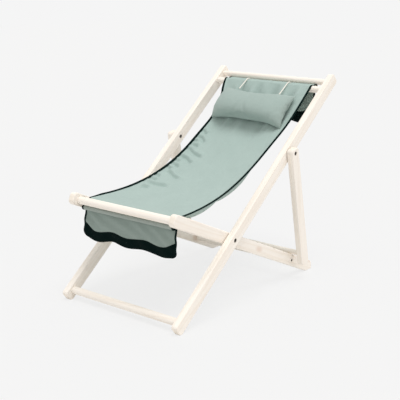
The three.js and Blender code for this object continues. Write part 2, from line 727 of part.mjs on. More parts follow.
function buildValance(name, y, topAt, drop, bandHeight) {
  const hem = (share) => topAt - drop + hemRise(share);
  const seam = (share) => hem(share) + bandHeight;
  addPiece(chair, name, hangingStrip(y, topAt, drop, () => topAt, seam), CANVAS);
  const bandTop = (share) => seam(share) - FIT;
  addPiece(chair, name + "_band", hangingStrip(y, topAt, drop, bandTop, hem), DARK_TRIM);
}

function buildValances() {
  const seamReach = Math.sqrt((frontSleeveR + clothHalf) ** 2 - FRONT_SEAM_DROP ** 2);
  const frontY = frontRodAt.x + seamReach + FIT + clothHalf;
  buildValance("front_valance", frontY, frontRodAt.y - FRONT_SEAM_DROP, VALANCE_DROP, BAND_HEIGHT);
  const backTop = topRodAt.y - topSleeveR - clothHalf - FIT;
  buildValance("back_valance", topRodAt.x, backTop, BACK_VALANCE_DROP, BACK_BAND_HEIGHT);
}

// A stuffed pad in its own place, fuller in the middle than at the corners: X along it, Y up, Z out of it
function padGeometry() {
  const points = [];
  const place = new Map();
  const fall = (a) => Math.max(0, 1 - Math.abs(a) ** PILLOW_EDGE_POWER);
  const vertex = (i, j, up) => {
    const u = (2 * j) / PILLOW_COLUMNS - 1;
    const v = (2 * i) / PILLOW_ROWS - 1;
    const swell = (fall(u) * fall(v)) ** PILLOW_SWELL_POWER;
    const key = [i, j, swell > 0 && up].join();
    if (!place.has(key)) {
      place.set(key, points.length);
      const x = u * (PILLOW_LENGTH / 2 - PILLOW_SIDE_DRAW * (1 - v ** 2));
      const y = v * (PILLOW_HEIGHT / 2 - PILLOW_END_DRAW * (1 - u ** 2));
      points.push(new THREE.Vector3(x, y, swell * (up ? PILLOW_CROWN : -PILLOW_UNDERSIDE)));
    }
    return place.get(key);
  };
  const index = [];
  for (let i = 0; i < PILLOW_ROWS; i++) {
    for (let j = 0; j < PILLOW_COLUMNS; j++) {
      for (const up of [true, false]) {
        const [a, b] = [vertex(i, j, up), vertex(i, j + 1, up)];
        const [c, d] = [vertex(i + 1, j + 1, up), vertex(i + 1, j, up)];
        index.push(...(up ? [a, b, c, a, c, d] : [a, c, b, a, d, c]));
      }
    }
  }
  const geometry = new THREE.BufferGeometry().setFromPoints(points);
  geometry.setIndex(index);
  const faceted = geometry.toNonIndexed();
  faceted.computeVertexNormals();
  return faceted;
}

// The sling's middle line at a share of the way over the seat: a point and the sling's direction there
function slingAt(share) {
  const line = slingPath()
    .filter((step) => step.share !== null)
    .map((step) => step.point.clone().sub(new THREE.Vector2(0, belly(step.share))));
  const place = share * SEAT_CLOTH_STEPS - 1;
  const low = Math.min(line.length - 2, Math.floor(place));
  const point = line[low].clone().lerp(line[low + 1], place - low);
  const direction = line[low + 1].clone().sub(line[low]).normalize();
  return { point, direction };
}

function buildPillow() {
  const length = backSlingAt.distanceTo(seatSlingAt);
  const share = 1 - PILLOW_BELOW_DOWEL / length;
  const { point, direction } = slingAt(share);
  const normal = new THREE.Vector2(-direction.y, direction.x);
  const rise = PILLOW_UNDERSIDE + clothHalf + PILLOW_REST_GAP;
  const centre = point.clone().addScaledVector(normal, rise);
  const pillow = addPiece(chair, "pillow", padGeometry(), PILLOW_CANVAS);
  pillow.position.set(0, centre.x, centre.y);
  pillow.rotation.set(direction.angle(), 0, -radians(PILLOW_TURN_DEG));
  pillow.updateMatrix();
  // Each cord runs from the pillow's upper seam over the clothed dowel and is sewn to the sling behind it
  const cordWrapR = backWrapR + clothHalf + FIT + CORD_R;
  // The seam is highest under a cord's outer side, and the pillow's turn lifts it a little more there
  const cordShare = (CORD_SPACING + 2 * CORD_R) / PILLOW_LENGTH;
  const turnRise = CORD_R * Math.tan(radians(PILLOW_TURN_DEG));
  const seamUp = PILLOW_HEIGHT / 2 - PILLOW_END_DRAW * (1 - cordShare ** 2) + turnRise + FIT;
  for (const { name, side } of SIDES) {
    const x = (side * CORD_SPACING) / 2;
    const seam = new THREE.Vector3(x, seamUp, 0).applyMatrix4(pillow.matrix);
    const toSeam = new THREE.Vector2(seam.y, seam.z).sub(backSlingAt);
    const touch = THREE.MathUtils.radToDeg(toSeam.angle() - Math.acos(cordWrapR / toSeam.length()));
    const wrap = arcPoints(backSlingAt, cordWrapR, touch, CORD_SEWN_DEG, WRAP_STEP_DEG);
    const over = wrap.map((at) => new THREE.Vector3(x, at.x, at.y));
    const straight = CORD_STRAIGHT_SHARES.map((share) => seam.clone().lerp(over[0], share));
    addPiece(chair, "pillow_cord_" + name, tube([...straight, ...over], CORD_R, CORD_STEPS), COTTON_CORD);
  }
}

buildBackFrame();
buildSeatFrame();
buildPropFrame();
buildPivot("seat_pivot", SEAT_PIVOT_UP, backRailX);
buildPivot("prop_pivot", PROP_PIVOT_UP, propRailX);
buildSling();
buildValances();
buildPillow();

// The chair's own origin is on the floor, under the middle of its outer size
const box = new THREE.Box3().setFromObject(chair, true);
chair.position.y = -(box.min.y + box.max.y) / 2;

export default chair;
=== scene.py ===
import bmesh
import bpy
import numpy as np
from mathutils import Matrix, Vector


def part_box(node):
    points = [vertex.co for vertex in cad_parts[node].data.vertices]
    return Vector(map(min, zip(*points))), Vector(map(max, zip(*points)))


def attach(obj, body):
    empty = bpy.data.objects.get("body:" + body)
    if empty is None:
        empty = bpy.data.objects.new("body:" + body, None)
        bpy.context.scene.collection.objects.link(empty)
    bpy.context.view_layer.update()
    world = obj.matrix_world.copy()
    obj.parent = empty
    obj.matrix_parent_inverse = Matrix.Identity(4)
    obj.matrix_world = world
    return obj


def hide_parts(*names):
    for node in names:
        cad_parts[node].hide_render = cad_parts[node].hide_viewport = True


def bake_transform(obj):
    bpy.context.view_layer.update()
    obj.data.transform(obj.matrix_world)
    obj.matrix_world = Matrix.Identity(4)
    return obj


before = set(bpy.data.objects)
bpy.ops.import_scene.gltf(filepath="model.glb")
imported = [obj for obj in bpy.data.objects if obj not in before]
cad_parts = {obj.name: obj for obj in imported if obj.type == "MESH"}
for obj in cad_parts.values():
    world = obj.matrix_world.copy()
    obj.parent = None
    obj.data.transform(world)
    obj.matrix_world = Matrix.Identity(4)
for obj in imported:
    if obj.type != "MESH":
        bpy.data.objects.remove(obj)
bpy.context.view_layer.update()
scene = bpy.context.scene
scene.view_settings.view_transform = "Standard"


# The camera stands before the chair on the sitter's left, a little above the seat, and looks along the
# chair's diagonal through a long lens, so that the rails hardly draw together.
CAMERA_PLACE = (2.02391, -2.52216, 1.16734)
CAMERA_TURN_DEG = (75.3, 0.1029, 38.9786)
CAMERA_LENS_MM = 80.286


def in_scene(name, data):
    """A new object of the scene that shows this mesh, lamp or camera."""
    placed = bpy.data.objects.new(name, data)
    scene.collection.objects.link(placed)
    return placed


camera = in_scene("camera", bpy.data.cameras.new("camera"))
camera.location = CAMERA_PLACE
camera.rotation_euler = np.radians(CAMERA_TURN_DEG)
camera.data.lens = CAMERA_LENS_MM
camera.data.sensor_width = 36
scene.camera = camera


# Two cords of twisted cotton hang the pillow from the upper sling dowel. Each is sewn into the pillow's
# upper seam, lies over the clothed dowel and is stitched down behind it.
CORD_R = 0.0025
CORD_TWIST_PITCH = 0.022
CORD_STRANDS = 3
CORD_LAP = 0.006
CORD_SEWN_DEG = 50
CORD_STEP = 0.0015
CORD_ARC_STEP_DEG = 12
CORD_SIDES = 18
CORD_STRAIGHT_SHARES = (0, 0.3, 0.6, 0.85)
CLOTH = 0.0014
FIT = 0.0003


def side_centre(node):
    """The middle of a CAD node's box in the side view, as (Y, Z)."""
    low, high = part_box(node)
    return np.array([low.y + high.y, low.z + high.z]) / 2


def round_radius(node):
    """The radius of a bar that lies across the chair: half its height."""
    low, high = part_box(node)
    return (high.z - low.z) / 2


def arc(centre, radius, start_deg, end_deg, step_deg=8):
    """Points (Y, Z) on a circle of the side view, from one angle to another, both ends included."""
    count = max(2, int(np.ceil(abs(end_deg - start_deg) / step_deg)) + 1)
    angle = np.radians(np.linspace(start_deg, end_deg, count))
    return centre + radius * np.stack([np.cos(angle), np.sin(angle)], axis=1)


def lengths(path):
    """How far each point of a path lies along it."""
    steps = np.linalg.norm(np.diff(path, axis=0), axis=1)
    return np.concatenate([[0.0], np.cumsum(steps)])


def spread_evenly(path, step):
    """The same path with its points a step apart, by interpolation along its length."""
    along = lengths(path)
    even = np.linspace(0, along[-1], max(2, int(round(along[-1] / step)) + 1))
    return np.stack([np.interp(even, along, path[:, k]) for k in range(path.shape[1])], axis=1)


def shade_smooth(mesh):
    """Shades every face of a mesh smooth."""
    mesh.polygons.foreach_set("use_smooth", np.ones(len(mesh.polygons), dtype=bool))


def grid_piece(name, points, uv, tube=False):
    """A mesh of quads over points[row, column] with uv[row, column] in metres. A tube closes on its first
    column and has a cap at each end, and its uv has one more column."""
    rows, columns = points.shape[:2]
    index = np.arange(rows * columns).reshape(rows, columns)
    if tube:
        index = np.concatenate([index, index[:, :1]], axis=1)
    corners = [(0, 0), (0, 1), (1, 1), (1, 0)]

    def at_corners(table):
        """The table's values at the four corners of each quad."""
        wide = table.shape[1]
        return np.stack([table[i : rows - 1 + i, j : wide - 1 + j] for i, j in corners], axis=2)

    quads = at_corners(index).reshape(-1, 4)
    faces = quads.tolist()
    loop_uv = at_corners(uv).reshape(-1, 2)
    if tube:
        faces += [index[0, :-1][::-1].tolist(), index[-1, :-1].tolist()]
        ends = np.concatenate([uv[0, :-1][::-1], uv[-1, :-1]])
        loop_uv = np.concatenate([loop_uv, ends])
    mesh = bpy.data.meshes.new(name)
    mesh.from_pydata(points.reshape(-1, 3).tolist(), [], faces)
    layer = mesh.uv_layers.new(name="UVMap")
    layer.data.foreach_set("uv", loop_uv.astype(np.float32).ravel())
    shade_smooth(mesh)
    mesh.update()
    return in_scene(name, mesh)


def tube_piece(name, points, round_way, along):
    """A closed tube over points[row, column] with its faces turned outwards, from the way round it and the
    way along it in metres."""
    uv = np.stack(np.broadcast_arrays(round_way[None], along[:, None]), axis=2)
    piece = grid_piece(name, points, uv, tube=True)
    shape = bmesh.new()
    shape.from_mesh(piece.data)
    bmesh.ops.recalc_face_normals(shape, faces=shape.faces)
    shape.to_mesh(piece.data)
    shape.free()
    return piece


def square_to(path, sideways):
    """At each point of a path, the direction square to it that is nearest to sideways, and the direction
    square to both."""
    direction = np.gradient(path, axis=0)
    direction /= np.linalg.norm(direction, axis=1)[:, None]
    across = sideways - (direction @ sideways)[:, None] * direction
    across /= np.linalg.norm(across, axis=1)[:, None]
    return across, np.cross(direction, across)


def material_of(name, roughness, specular=0.4):
    """A new node material: its tree, its shader, and the material."""
    material = bpy.data.materials.new(name)
    material.use_nodes = True
    shader = material.node_tree.nodes["Principled BSDF"]
    shader.inputs["Roughness"].default_value = roughness
    shader.inputs["Specular IOR Level"].default_value = specular
    return material.node_tree, shader, material


def add_node(tree, kind, values=(), links=(), **settings):
    """A node of that kind with its settings, its sockets' values and the sockets linked to them."""
    node = tree.nodes.new("ShaderNode" + kind)
    for key, value in settings.items():
        setattr(node, key, value)
    for key, value in dict(values).items():
        node.inputs[key].default_value = value
    for key, socket in dict(links).items():
        tree.links.new(socket, node.inputs[key])
    return node


def colour(red, green, blue):
    """A colour written in 0 to 255 as the eye sees it, in the linear values that a shader takes."""
    share = np.array([red, green, blue]) / 255
    linear = np.where(share <= 0.04045, share / 12.92, ((share + 0.055) / 1.055) ** 2.4)
    return (*linear.tolist(), 1.0)


def blended(tree, share, first, second, mode="MIX"):
    """Mixes two colours or colour sockets by a share, which is a socket or a number."""
    mix = add_node(tree, "Mix", data_type="RGBA", blend_type=mode)
    for socket, value in ((mix.inputs[0], share), (mix.inputs[6], first), (mix.inputs[7], second)):
        if isinstance(value, bpy.types.NodeSocket):
            tree.links.new(value, socket)
        else:
            socket.default_value = value
    return mix.outputs[2]


def graph(tree, operation, *values, clamp=False):
    """A Math node of sockets and numbers."""
    node = add_node(tree, "Math", operation=operation, use_clamp=clamp)
    for socket, value in zip(node.inputs, values):
        if isinstance(value, bpy.types.NodeSocket):
            tree.links.new(value, socket)
        else:
            socket.default_value = value
    return node.outputs[0]


def bumped(tree, shader, height, distance, strength=1.0):
    """Raises the surface by a height of 0 to 1 times a distance in metres."""
    bump = add_node(tree, "Bump", {"Strength": strength, "Distance": distance}, {"Height": height})
    tree.links.new(bump.outputs["Normal"], shader.inputs["Normal"])


def noise(tree, place, scale=1.0, detail=2.0, roughness=0.5, distortion=0.0, stretch=None):
    """Noise of 0 to 1 at a place, whose three directions are first scaled by stretch."""
    if stretch:
        place = add_node(tree, "Mapping", {"Scale": stretch}, {"Vector": place}).outputs[0]
    values = {"Scale": scale, "Detail": detail, "Roughness": roughness, "Distortion": distortion}
    return add_node(tree, "TexNoise", values, {"Vector": place}).outputs[0]


def cotton_cord():
    """Cream cotton whose fine fibres run along the cord, some darker and some paler."""
    tree, shader, material = material_of("cotton_cord", 0.9, 0.2)
    place = add_node(tree, "TexCoord").outputs["UV"]
    fibre = noise(tree, place, detail=3.0, stretch=(900, 160, 1))
    tone = blended(tree, fibre, colour(232, 227, 216), colour(252, 249, 242))
    tree.links.new(tone, shader.inputs["Base Color"])
    shader.inputs["Sheen Weight"].default_value = 0.2
    bumped(tree, shader, fibre, 0.0003, 0.6)
    return material


def cord_route(node):
    """The cord's points: straight from the seam to where it meets the clothed dowel, then round it."""
    low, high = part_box(node)
    dowel = side_centre("back_sling_dowel")
    wrap = round_radius("back_sling_dowel") + 2 * FIT + 1.6 * CLOTH + CORD_R
    seam = np.array([low.y, low.z]) + CORD_R / 2
    to_seam = seam - dowel
    away = np.linalg.norm(to_seam)
    touch = np.degrees(np.arctan2(to_seam[1], to_seam[0]) % (2 * np.pi) - np.arccos(wrap / away))
    round_dowel = arc(dowel, wrap, touch, CORD_SEWN_DEG, CORD_ARC_STEP_DEG)
    lap = seam + (seam - round_dowel[0]) / away * CORD_LAP
    straight = lap + (round_dowel[0] - lap) * np.array(CORD_STRAIGHT_SHARES)[:, None]
    side = np.concatenate([straight, round_dowel])
    return np.column_stack([np.full(len(side), (low.x + high.x) / 2), side])


def twisted_cord(name, path, radius):
    """A tube round the path whose section has one lobe per strand and turns as it goes:
    r = radius * (0.8 + 0.2 |cos(strands * (angle - turn) / 2)|)."""
    along = lengths(path)
    across, up = square_to(path, np.array([1.0, 0.0, 0.0]))
    angle = np.linspace(0, 2 * np.pi, CORD_SIDES, endpoint=False)
    turned = angle[None] - 2 * np.pi * along[:, None] / CORD_TWIST_PITCH
    spread = radius * (0.8 + 0.2 * np.abs(np.cos(CORD_STRANDS * turned / 2)))
    points = (
        path[:, None]
        + (spread * np.cos(angle))[..., None] * across[:, None]
        + (spread * np.sin(angle))[..., None] * up[:, None]
    )
    return tube_piece(name, points, np.linspace(0, 2 * np.pi * radius, CORD_SIDES + 1), along)


# The lower and the upper sling dowel in the side view, and how far apart they are.
lower_dowel = side_centre("seat_sling_dowel")
upper_dowel = side_centre("back_sling_dowel")
seat_length = np.linalg.norm(upper_dowel - lower_dowel)


def bend_with_seat(piece):
    """Bakes a piece's placement into its mesh."""
    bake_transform(piece)


cord_cotton = cotton_cord()
for node in ("pillow_cord_left", "pillow_cord_right"):
    route = spread_evenly(cord_route(node), CORD_STEP)
    cord = twisted_cord(node.replace("cord", "string"), route, CORD_R)
    cord.data.materials.append(cord_cotton)
    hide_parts(node)
    bend_with_seat(cord)


# The studio is a plain pale sweep. Light comes from a broad soft lamp over the chair, a little to its
# left and front, and from all round.
BACKGROUND = 0.913
SHADOW_SHARE = 0.16
SWEEP_HALF = 12.0
KEY_TURN_DEG = (3, 14, 0)
KEY_SPREAD_DEG = 34
KEY_STRENGTH = 1.66
ROUND_LIGHT = 0.69
FLOOR_BOUNCE = 0.84
FLOOR_SEEN = 0.77
FLOOR_UNDER = 0.0004
SKY_TINT = (1.0, 0.985, 0.965, 1)


def seen_rays(tree):
    """1 for rays from the camera, a reflection or a transmission, which see the plain background."""
    path = add_node(tree, "LightPath").outputs
    some = graph(tree, "MAXIMUM", path["Is Camera Ray"], path["Is Glossy Ray"])
    return graph(tree, "MAXIMUM", some, path["Is Transmission Ray"])


def grey(value):
    """A neutral colour, in linear values."""
    return (value, value, value, 1)


def studio_floor():
    """Seen, it is the background's colour with a share of the real light, which gives the soft shadow."""
    tree, shader, material = material_of("studio_floor", 0.9, 0.0)
    shader.inputs["Base Color"].default_value = grey(FLOOR_BOUNCE)
    glow = add_node(tree, "Emission", {"Color": grey(BACKGROUND), "Strength": 1.0}).outputs[0]
    lit = add_node(tree, "BsdfDiffuse", {"Color": grey(FLOOR_SEEN)}).outputs[0]
    seen = add_node(tree, "MixShader", {0: SHADOW_SHARE}, {1: glow, 2: lit}).outputs[0]
    whole = add_node(tree, "MixShader", (), {0: seen_rays(tree), 1: shader.outputs[0], 2: seen}).outputs[0]
    tree.links.new(whole, tree.nodes["Material Output"].inputs["Surface"])
    return material


corner = SWEEP_HALF * np.array([-1.0, 1.0])
floor_points = np.stack([*np.meshgrid(corner, corner), np.full((2, 2), -FLOOR_UNDER)], axis=2)
floor = grid_piece("studio_floor", floor_points, floor_points[..., :2])
floor.data.materials.append(studio_floor())

key = in_scene("key_lamp", bpy.data.lights.new("key_lamp", "SUN"))
key.data.energy = KEY_STRENGTH
key.data.angle = np.radians(KEY_SPREAD_DEG)
key.rotation_euler = np.radians(KEY_TURN_DEG)

world = bpy.data.worlds.new("studio_world")
scene.world = world
world.use_nodes = True
around = world.node_tree
sky = around.nodes["Background"]
seen_sky = add_node(around, "Background", {0: grey(BACKGROUND), 1: 1.0}).outputs[0]
sky.inputs["Color"].default_value = SKY_TINT
sky.inputs["Strength"].default_value = ROUND_LIGHT
both = add_node(around, "MixShader", (), {0: seen_rays(around), 1: sky.outputs[0], 2: seen_sky})
around.links.new(both.outputs[0], around.nodes["World Output"].inputs["Surface"])


# The rails of all three frames are sawn from pale softwood, planed, rounded along their edges and given a
# thin whitewash. The grain runs along each rail, with a few small pinkish knots.
WOOD_PALE = colour(252, 246, 238)
WOOD_GRAIN = colour(243, 232, 219)
WOOD_END = colour(242, 231, 216)
WOOD_KNOT = colour(226, 202, 184)
WOOD_RELIEF = 0.00012
WELD_GAP = 0.00002
SMOOTH_UNDER_DEG = 50


def wood(name, turn_deg):
    """Whitewashed wood. turn_deg turns the object so that the grain runs along Y. Fine streaks come from
    noise drawn out along the grain, and knots from the few cells of a pattern whose random value is low."""
    tree, shader, material = material_of(name, 0.55, 0.3)
    coords = add_node(tree, "TexCoord").outputs
    turn = np.radians(turn_deg)
    along = add_node(tree, "Mapping", {"Rotation": turn}, {"Vector": coords["Object"]}).outputs[0]
    long = add_node(tree, "Mapping", {"Scale": (1, 0.045, 1)}, {"Vector": along}).outputs[0]
    bend = noise(tree, long, 14.0)
    grain = noise(tree, long, 170.0, detail=5.0, roughness=0.6, distortion=0.6)
    pores = noise(tree, long, 900.0)
    ring_wave = graph(tree, "SINE", graph(tree, "MULTIPLY", bend, 60.0))
    rings = graph(tree, "MULTIPLY_ADD", ring_wave, 0.5, 0.5)
    streak = graph(tree, "MULTIPLY_ADD", grain, 1.7, -0.35, clamp=True)
    late = graph(tree, "MULTIPLY", graph(tree, "POWER", rings, 3.0), 0.4)
    figure = graph(tree, "ADD", graph(tree, "MULTIPLY", streak, 0.55), late, clamp=True)
    tone = blended(tree, figure, WOOD_PALE, WOOD_GRAIN)

    squashed = add_node(tree, "Mapping", {"Scale": (9, 4.2, 9)}, {"Vector": along}).outputs[0]
    cells = add_node(tree, "TexVoronoi", {"Scale": 1.0, "Randomness": 0.9}, {"Vector": squashed})
    chosen = add_node(tree, "SeparateColor", (), {0: cells.outputs["Color"]}).outputs[0]
    is_knot = graph(tree, "LESS_THAN", chosen, 0.3)
    limits, off_middle = {1: 0.16, 2: 0.05, 3: 0.0, 4: 1.0}, {0: cells.outputs["Distance"]}
    core = add_node(tree, "MapRange", limits, off_middle, interpolation_type="SMOOTHSTEP").outputs[0]
    knot = graph(tree, "MULTIPLY", is_knot, core)
    tone = blended(tree, graph(tree, "MULTIPLY", knot, 0.75), tone, WOOD_KNOT)

    cut = add_node(tree, "VectorRotate", {"Rotation": turn}, {0: coords["Normal"]}, rotation_type="EULER_XYZ")
    facing = graph(tree, "ABSOLUTE", add_node(tree, "SeparateXYZ", (), {0: cut.outputs[0]}).outputs[1])
    end_grain = add_node(tree, "MapRange", {1: 0.75, 2: 0.98}, {0: facing}).outputs[0]
    tone = blended(tree, graph(tree, "MULTIPLY", end_grain, 0.6), tone, WOOD_END)
    tree.links.new(tone, shader.inputs["Base Color"])
    rough = graph(tree, "MULTIPLY_ADD", pores, 0.2, 0.45)
    tree.links.new(rough, shader.inputs["Roughness"])
    relief = graph(tree, "ADD", graph(tree, "MULTIPLY", figure, 0.8), graph(tree, "MULTIPLY", pores, 0.2))
    bumped(tree, shader, relief, WOOD_RELIEF, 0.4)
    return material


def dress(nodes, material, smooth_deg=SMOOTH_UNDER_DEG):
    """Gives CAD nodes their material, and smooth shading over the faces that meet at a small angle."""
    for node in nodes:
        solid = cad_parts[node]
        solid.data.materials.clear()
        solid.data.materials.append(material)
        shade_smooth(solid.data)
        weld = solid.modifiers.new("weld", "WELD")
        weld.merge_threshold = WELD_GAP
        split = solid.modifiers.new("creases", "EDGE_SPLIT")
        split.split_angle = np.radians(smooth_deg)
        weighted = solid.modifiers.new("even_faces", "WEIGHTED_NORMAL")
        weighted.keep_sharp = True


def both_sides(*names):
    """The left and the right node of each name."""
    return [f"{name}_{side}" for name in names for side in ("left", "right")]


for rail, low_bar, high_bar in (
    ("back_rail", "back_foot_dowel", "back_top_dowel"),
    ("seat_rail", "seat_front_dowel", "seat_stretcher"),
    ("prop_rail", "prop_pivot_bolt_left", "prop_crossbar"),
):
    y, z = side_centre(high_bar) - side_centre(low_bar)
    slope_deg = float(np.degrees(np.arctan2(z, y)))
    dress(both_sides(rail), wood(f"{rail}_wood", (-slope_deg, 0, 0)))


# The dowels between the rails are turned from the same wood, glued into blind holes. The two slim rods
# that lock the sling are loose in their sleeves.
dowel_wood = wood("dowel_wood", (0, 0, 90))
dowels = ["back_foot_dowel", "back_top_dowel", "back_sling_dowel", "seat_front_dowel", "seat_sling_dowel"]
dress(dowels + ["seat_stretcher", "prop_crossbar", "sling_rod_front", "sling_rod_top"], dowel_wood)


# The pivots are blackened steel bolts with sunk hexagon heads, sleeve nuts and washers between the rails.
# A sunk screw through each seat rail holds the stretcher.
def dark_steel():
    """Blackened steel that rubs brighter in small patches."""
    tree, shader, material = material_of("dark_steel", 0.4, 0.5)
    shader.inputs["Metallic"].default_value = 0.9
    place = add_node(tree, "TexCoord").outputs["Object"]
    patches = noise(tree, place, 420.0, detail=4.0)
    worn = graph(tree, "MULTIPLY_ADD", patches, 3.0, -1.2, clamp=True)
    tone = blended(tree, worn, colour(58, 55, 52), colour(112, 106, 99))
    tree.links.new(tone, shader.inputs["Base Color"])
    tree.links.new(graph(tree, "MULTIPLY_ADD", patches, 0.25, 0.28), shader.inputs["Roughness"])
    bumped(tree, shader, patches, 0.0001, 0.4)
    return material


hardware = ["seat_pivot_bolt", "seat_pivot_nut", "seat_pivot_washer"]
hardware += ["prop_pivot_bolt", "prop_pivot_nut", "prop_pivot_washer", "stretcher_screw"]
dress(both_sides(*hardware), dark_steel(), smooth_deg=32)


# The sling is one length of grey-green canvas. It hangs slack between two dowels, narrows over the seat,
# and ends in a sleeve round a loose rod at each end. Its edges draw up in small puckers.
# Each cloth's tones: its tone, a darker tone where it is uneven, and a lighter one painted on the threads'
# crowns as painted highlight.
CANVAS_TONES = (colour(172, 191, 185), colour(152, 172, 166), colour(188, 205, 200))
# Painted shade: the colour that darkens the front sleeve, which lies in the front dowel's shadow.
SLEEVE_PAINTED_SHADE = (0.80, 0.72, 0.70, 1.0)
THREAD_PITCH = 0.0011
THREAD_RELIEF = 0.0004
WRINKLE_RELIEF = 0.008
SLING_SAG = 0.102
SLING_FULL = 0.008
SLING_FULL_SHARE = 0.82
SLING_FULL_SPREAD = 0.1
SLEEVE_MOUTH_DEG = 50
SEAT_STEPS = 320
FREE_STEP = 0.003


def threads(tree, place):
    """The height and the unevenness of a plain weave at a place in metres: two sets of round threads, each
    |sin(pi * way / THREAD_PITCH)| high, one over the other by turns, with slubs drawn out along both."""
    ways = add_node(tree, "SeparateXYZ", (), {0: place}).outputs
    waves = [graph(tree, "SINE", graph(tree, "MULTIPLY", ways[k], np.pi / THREAD_PITCH)) for k in (0, 1)]
    first, second = [graph(tree, "ABSOLUTE", wave) for wave in waves]
    over = graph(tree, "MULTIPLY_ADD", graph(tree, "MULTIPLY", *waves), 0.5, 0.5)
    under = graph(tree, "SUBTRACT", 1.0, over)
    weave = graph(tree, "ADD", graph(tree, "MULTIPLY", over, first), graph(tree, "MULTIPLY", under, second))
    slubs = [noise(tree, place, detail=3.0, stretch=way) for way in ((700, 22, 22), (22, 700, 22))]
    return weave, graph(tree, "MULTIPLY_ADD", graph(tree, "ADD", *slubs), 0.8, -0.8)


def woven(tree, shader, weave, uneven, tones, wrinkles, strength):
    """Gives a shader the threads' relief with the wrinkles' on it, and returns the cloth's colour: the tone
    shades off where the cloth is uneven, and the threads' crowns are painted lighter than the hollows between
    them, painted highlight and shade of the weave."""
    tone, shade, light = tones
    shader.inputs["Sheen Weight"].default_value = 0.12
    fine = add_node(tree, "Bump", {"Strength": 0.5, "Distance": THREAD_RELIEF}, {"Height": weave})
    relief = {"Height": wrinkles, "Normal": fine.outputs[0]}
    broad = add_node(tree, "Bump", {"Strength": strength, "Distance": WRINKLE_RELIEF}, relief)
    tree.links.new(broad.outputs[0], shader.inputs["Normal"])
    shaded = blended(tree, graph(tree, "SUBTRACT", 0.45, uneven, clamp=True), tone, shade)
    # Painted highlight and shade of the weave: lighter on the threads' crowns, darker in the hollows between
    # them.
    return blended(tree, graph(tree, "MULTIPLY", weave, 0.35), shaded, light)


def canvas(name, tones, wrinkle_strength=0.35, sleeve_end=0.0):
    """Canvas from the UV map in metres, with a soft cloudiness and shallow handling creases. Up to the end of
    the front sleeve it is darker, painted shade of the front dowel that hangs over the sleeve."""
    tree, shader, material = material_of(name, 0.92, 0.2)
    place = add_node(tree, "TexCoord").outputs["UV"]
    weave, slub = threads(tree, place)
    cloud = graph(tree, "MULTIPLY_ADD", noise(tree, place, 9.0, detail=4.0, roughness=0.6), 0.8, -0.4)
    wrinkles = noise(tree, place, detail=5.0, roughness=0.55, distortion=0.8, stretch=(26, 11, 1))
    uneven = graph(tree, "ADD", slub, cloud)
    lit = woven(tree, shader, weave, uneven, tones, wrinkles, wrinkle_strength)
    shader.inputs["Sheen Roughness"].default_value = 0.6
    # Painted shade over the front sleeve, under the front dowel.
    if sleeve_end:
        along = add_node(tree, "SeparateXYZ", (), {0: place}).outputs[1]
        lit = blended(tree, graph(tree, "LESS_THAN", along, sleeve_end), lit, SLEEVE_PAINTED_SHADE, "MULTIPLY")
    tree.links.new(lit, shader.inputs["Base Color"])
    return material


def ramp(value, start, end):
    """0 up to start and 1 from end on, straight between them. End may lie below start."""
    return np.clip((value - start) / (end - start), 0, 1)


def crossing_deg(first, second, turn_way):
    """The slope of the straight line that passes under one roll and over the next, each a centre and a
    radius, or over the first and under the next if turn_way is -1."""
    gap = second[0] - first[0]
    turn = np.arcsin((first[1] + second[1]) / np.linalg.norm(gap))
    return np.degrees(np.arctan2(gap[1], gap[0]) + turn_way * turn)


class SlingPath:
    """The sling's side view from the end of its front sleeve to the end of its top one. Over the seat it
    dips by 4 * SLING_SAG * share * (1 - share) under the straight line, and a little more at the pillow.
    Each point has its upward direction, its length along the sling, its share of the seat, or -1 off the
    seat, its way up the seat from 0 to 1, and middling, which is 1 halfway up and 0 at both ends."""

    def __init__(self):
        nodes = ("sling_rod_front", "seat_sling_dowel", "back_sling_dowel", "sling_rod_top")
        rolls = [(side_centre(node), round_radius(node) + FIT + CLOTH / 2) for node in nodes]
        chord = upper_dowel - lower_dowel
        chord_deg = np.degrees(np.arctan2(chord[1], chord[0]))
        dip_deg = np.degrees(np.arctan(4 * SLING_SAG / seat_length))
        leave = crossing_deg(*rolls[:2], 1)
        arrive = crossing_deg(*rolls[2:], -1)
        wound = 360 - SLEEVE_MOUTH_DEG
        first = arc(*rolls[0], leave - 90 - wound, leave - 90)
        onto = arc(*rolls[1], leave + 90, chord_deg - dip_deg + 90)
        over = arc(*rolls[2], chord_deg + dip_deg + 90, arrive + 90)
        last = arc(*rolls[3], arrive - 90, arrive - 90 + wound)
        span = over[0] - onto[-1]
        down = np.array([span[1], -span[0]]) / np.linalg.norm(span)
        share = np.linspace(0, 1, SEAT_STEPS + 1)[1:-1]
        full = np.exp(-(((share - SLING_FULL_SHARE) / SLING_FULL_SPREAD) ** 2)) * np.sin(np.pi * share) ** 0.5
        dip = SLING_SAG * 4 * share * (1 - share) + SLING_FULL * full
        seat = onto[-1] + share[:, None] * span + dip[:, None] * down
        rise = spread_evenly(np.stack([first[-1], onto[0]]), FREE_STEP)[1:-1]
        fall = spread_evenly(np.stack([over[-1], last[0]]), FREE_STEP)[1:-1]
        parts = [first, rise, onto, seat, over, fall, last]
        self.points = np.concatenate(parts)
        off = [np.full(len(part), -1.0) for part in parts]
        off[3] = share
        self.share = np.concatenate(off)
        self.sleeve_end = lengths(first)[-1]
        way = np.gradient(self.points, axis=0)
        way /= np.linalg.norm(way, axis=1)[:, None]
        self.up = np.stack([-way[:, 1], way[:, 0]], axis=1)
        self.along = lengths(self.points)
        self.way_up = np.interp(self.along, self.along[self.share >= 0][[0, -1]], (0, 1))
        on_seat = np.maximum(self.share, 0)
        self.middling = np.where(self.share < 0, 0, 4 * on_seat * (1 - on_seat))


sling_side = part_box("sling")[1].x
SLING_WAIST = 0.028
LEFT_EDGE_SHIFT = 0.006
RIGHT_WAIST_MORE = 0.005
RIGHT_HEAD_WAIST = 0.016
HEAD_WAIST_SHARE = 0.85
HEAD_WAIST_SPREAD = 0.13


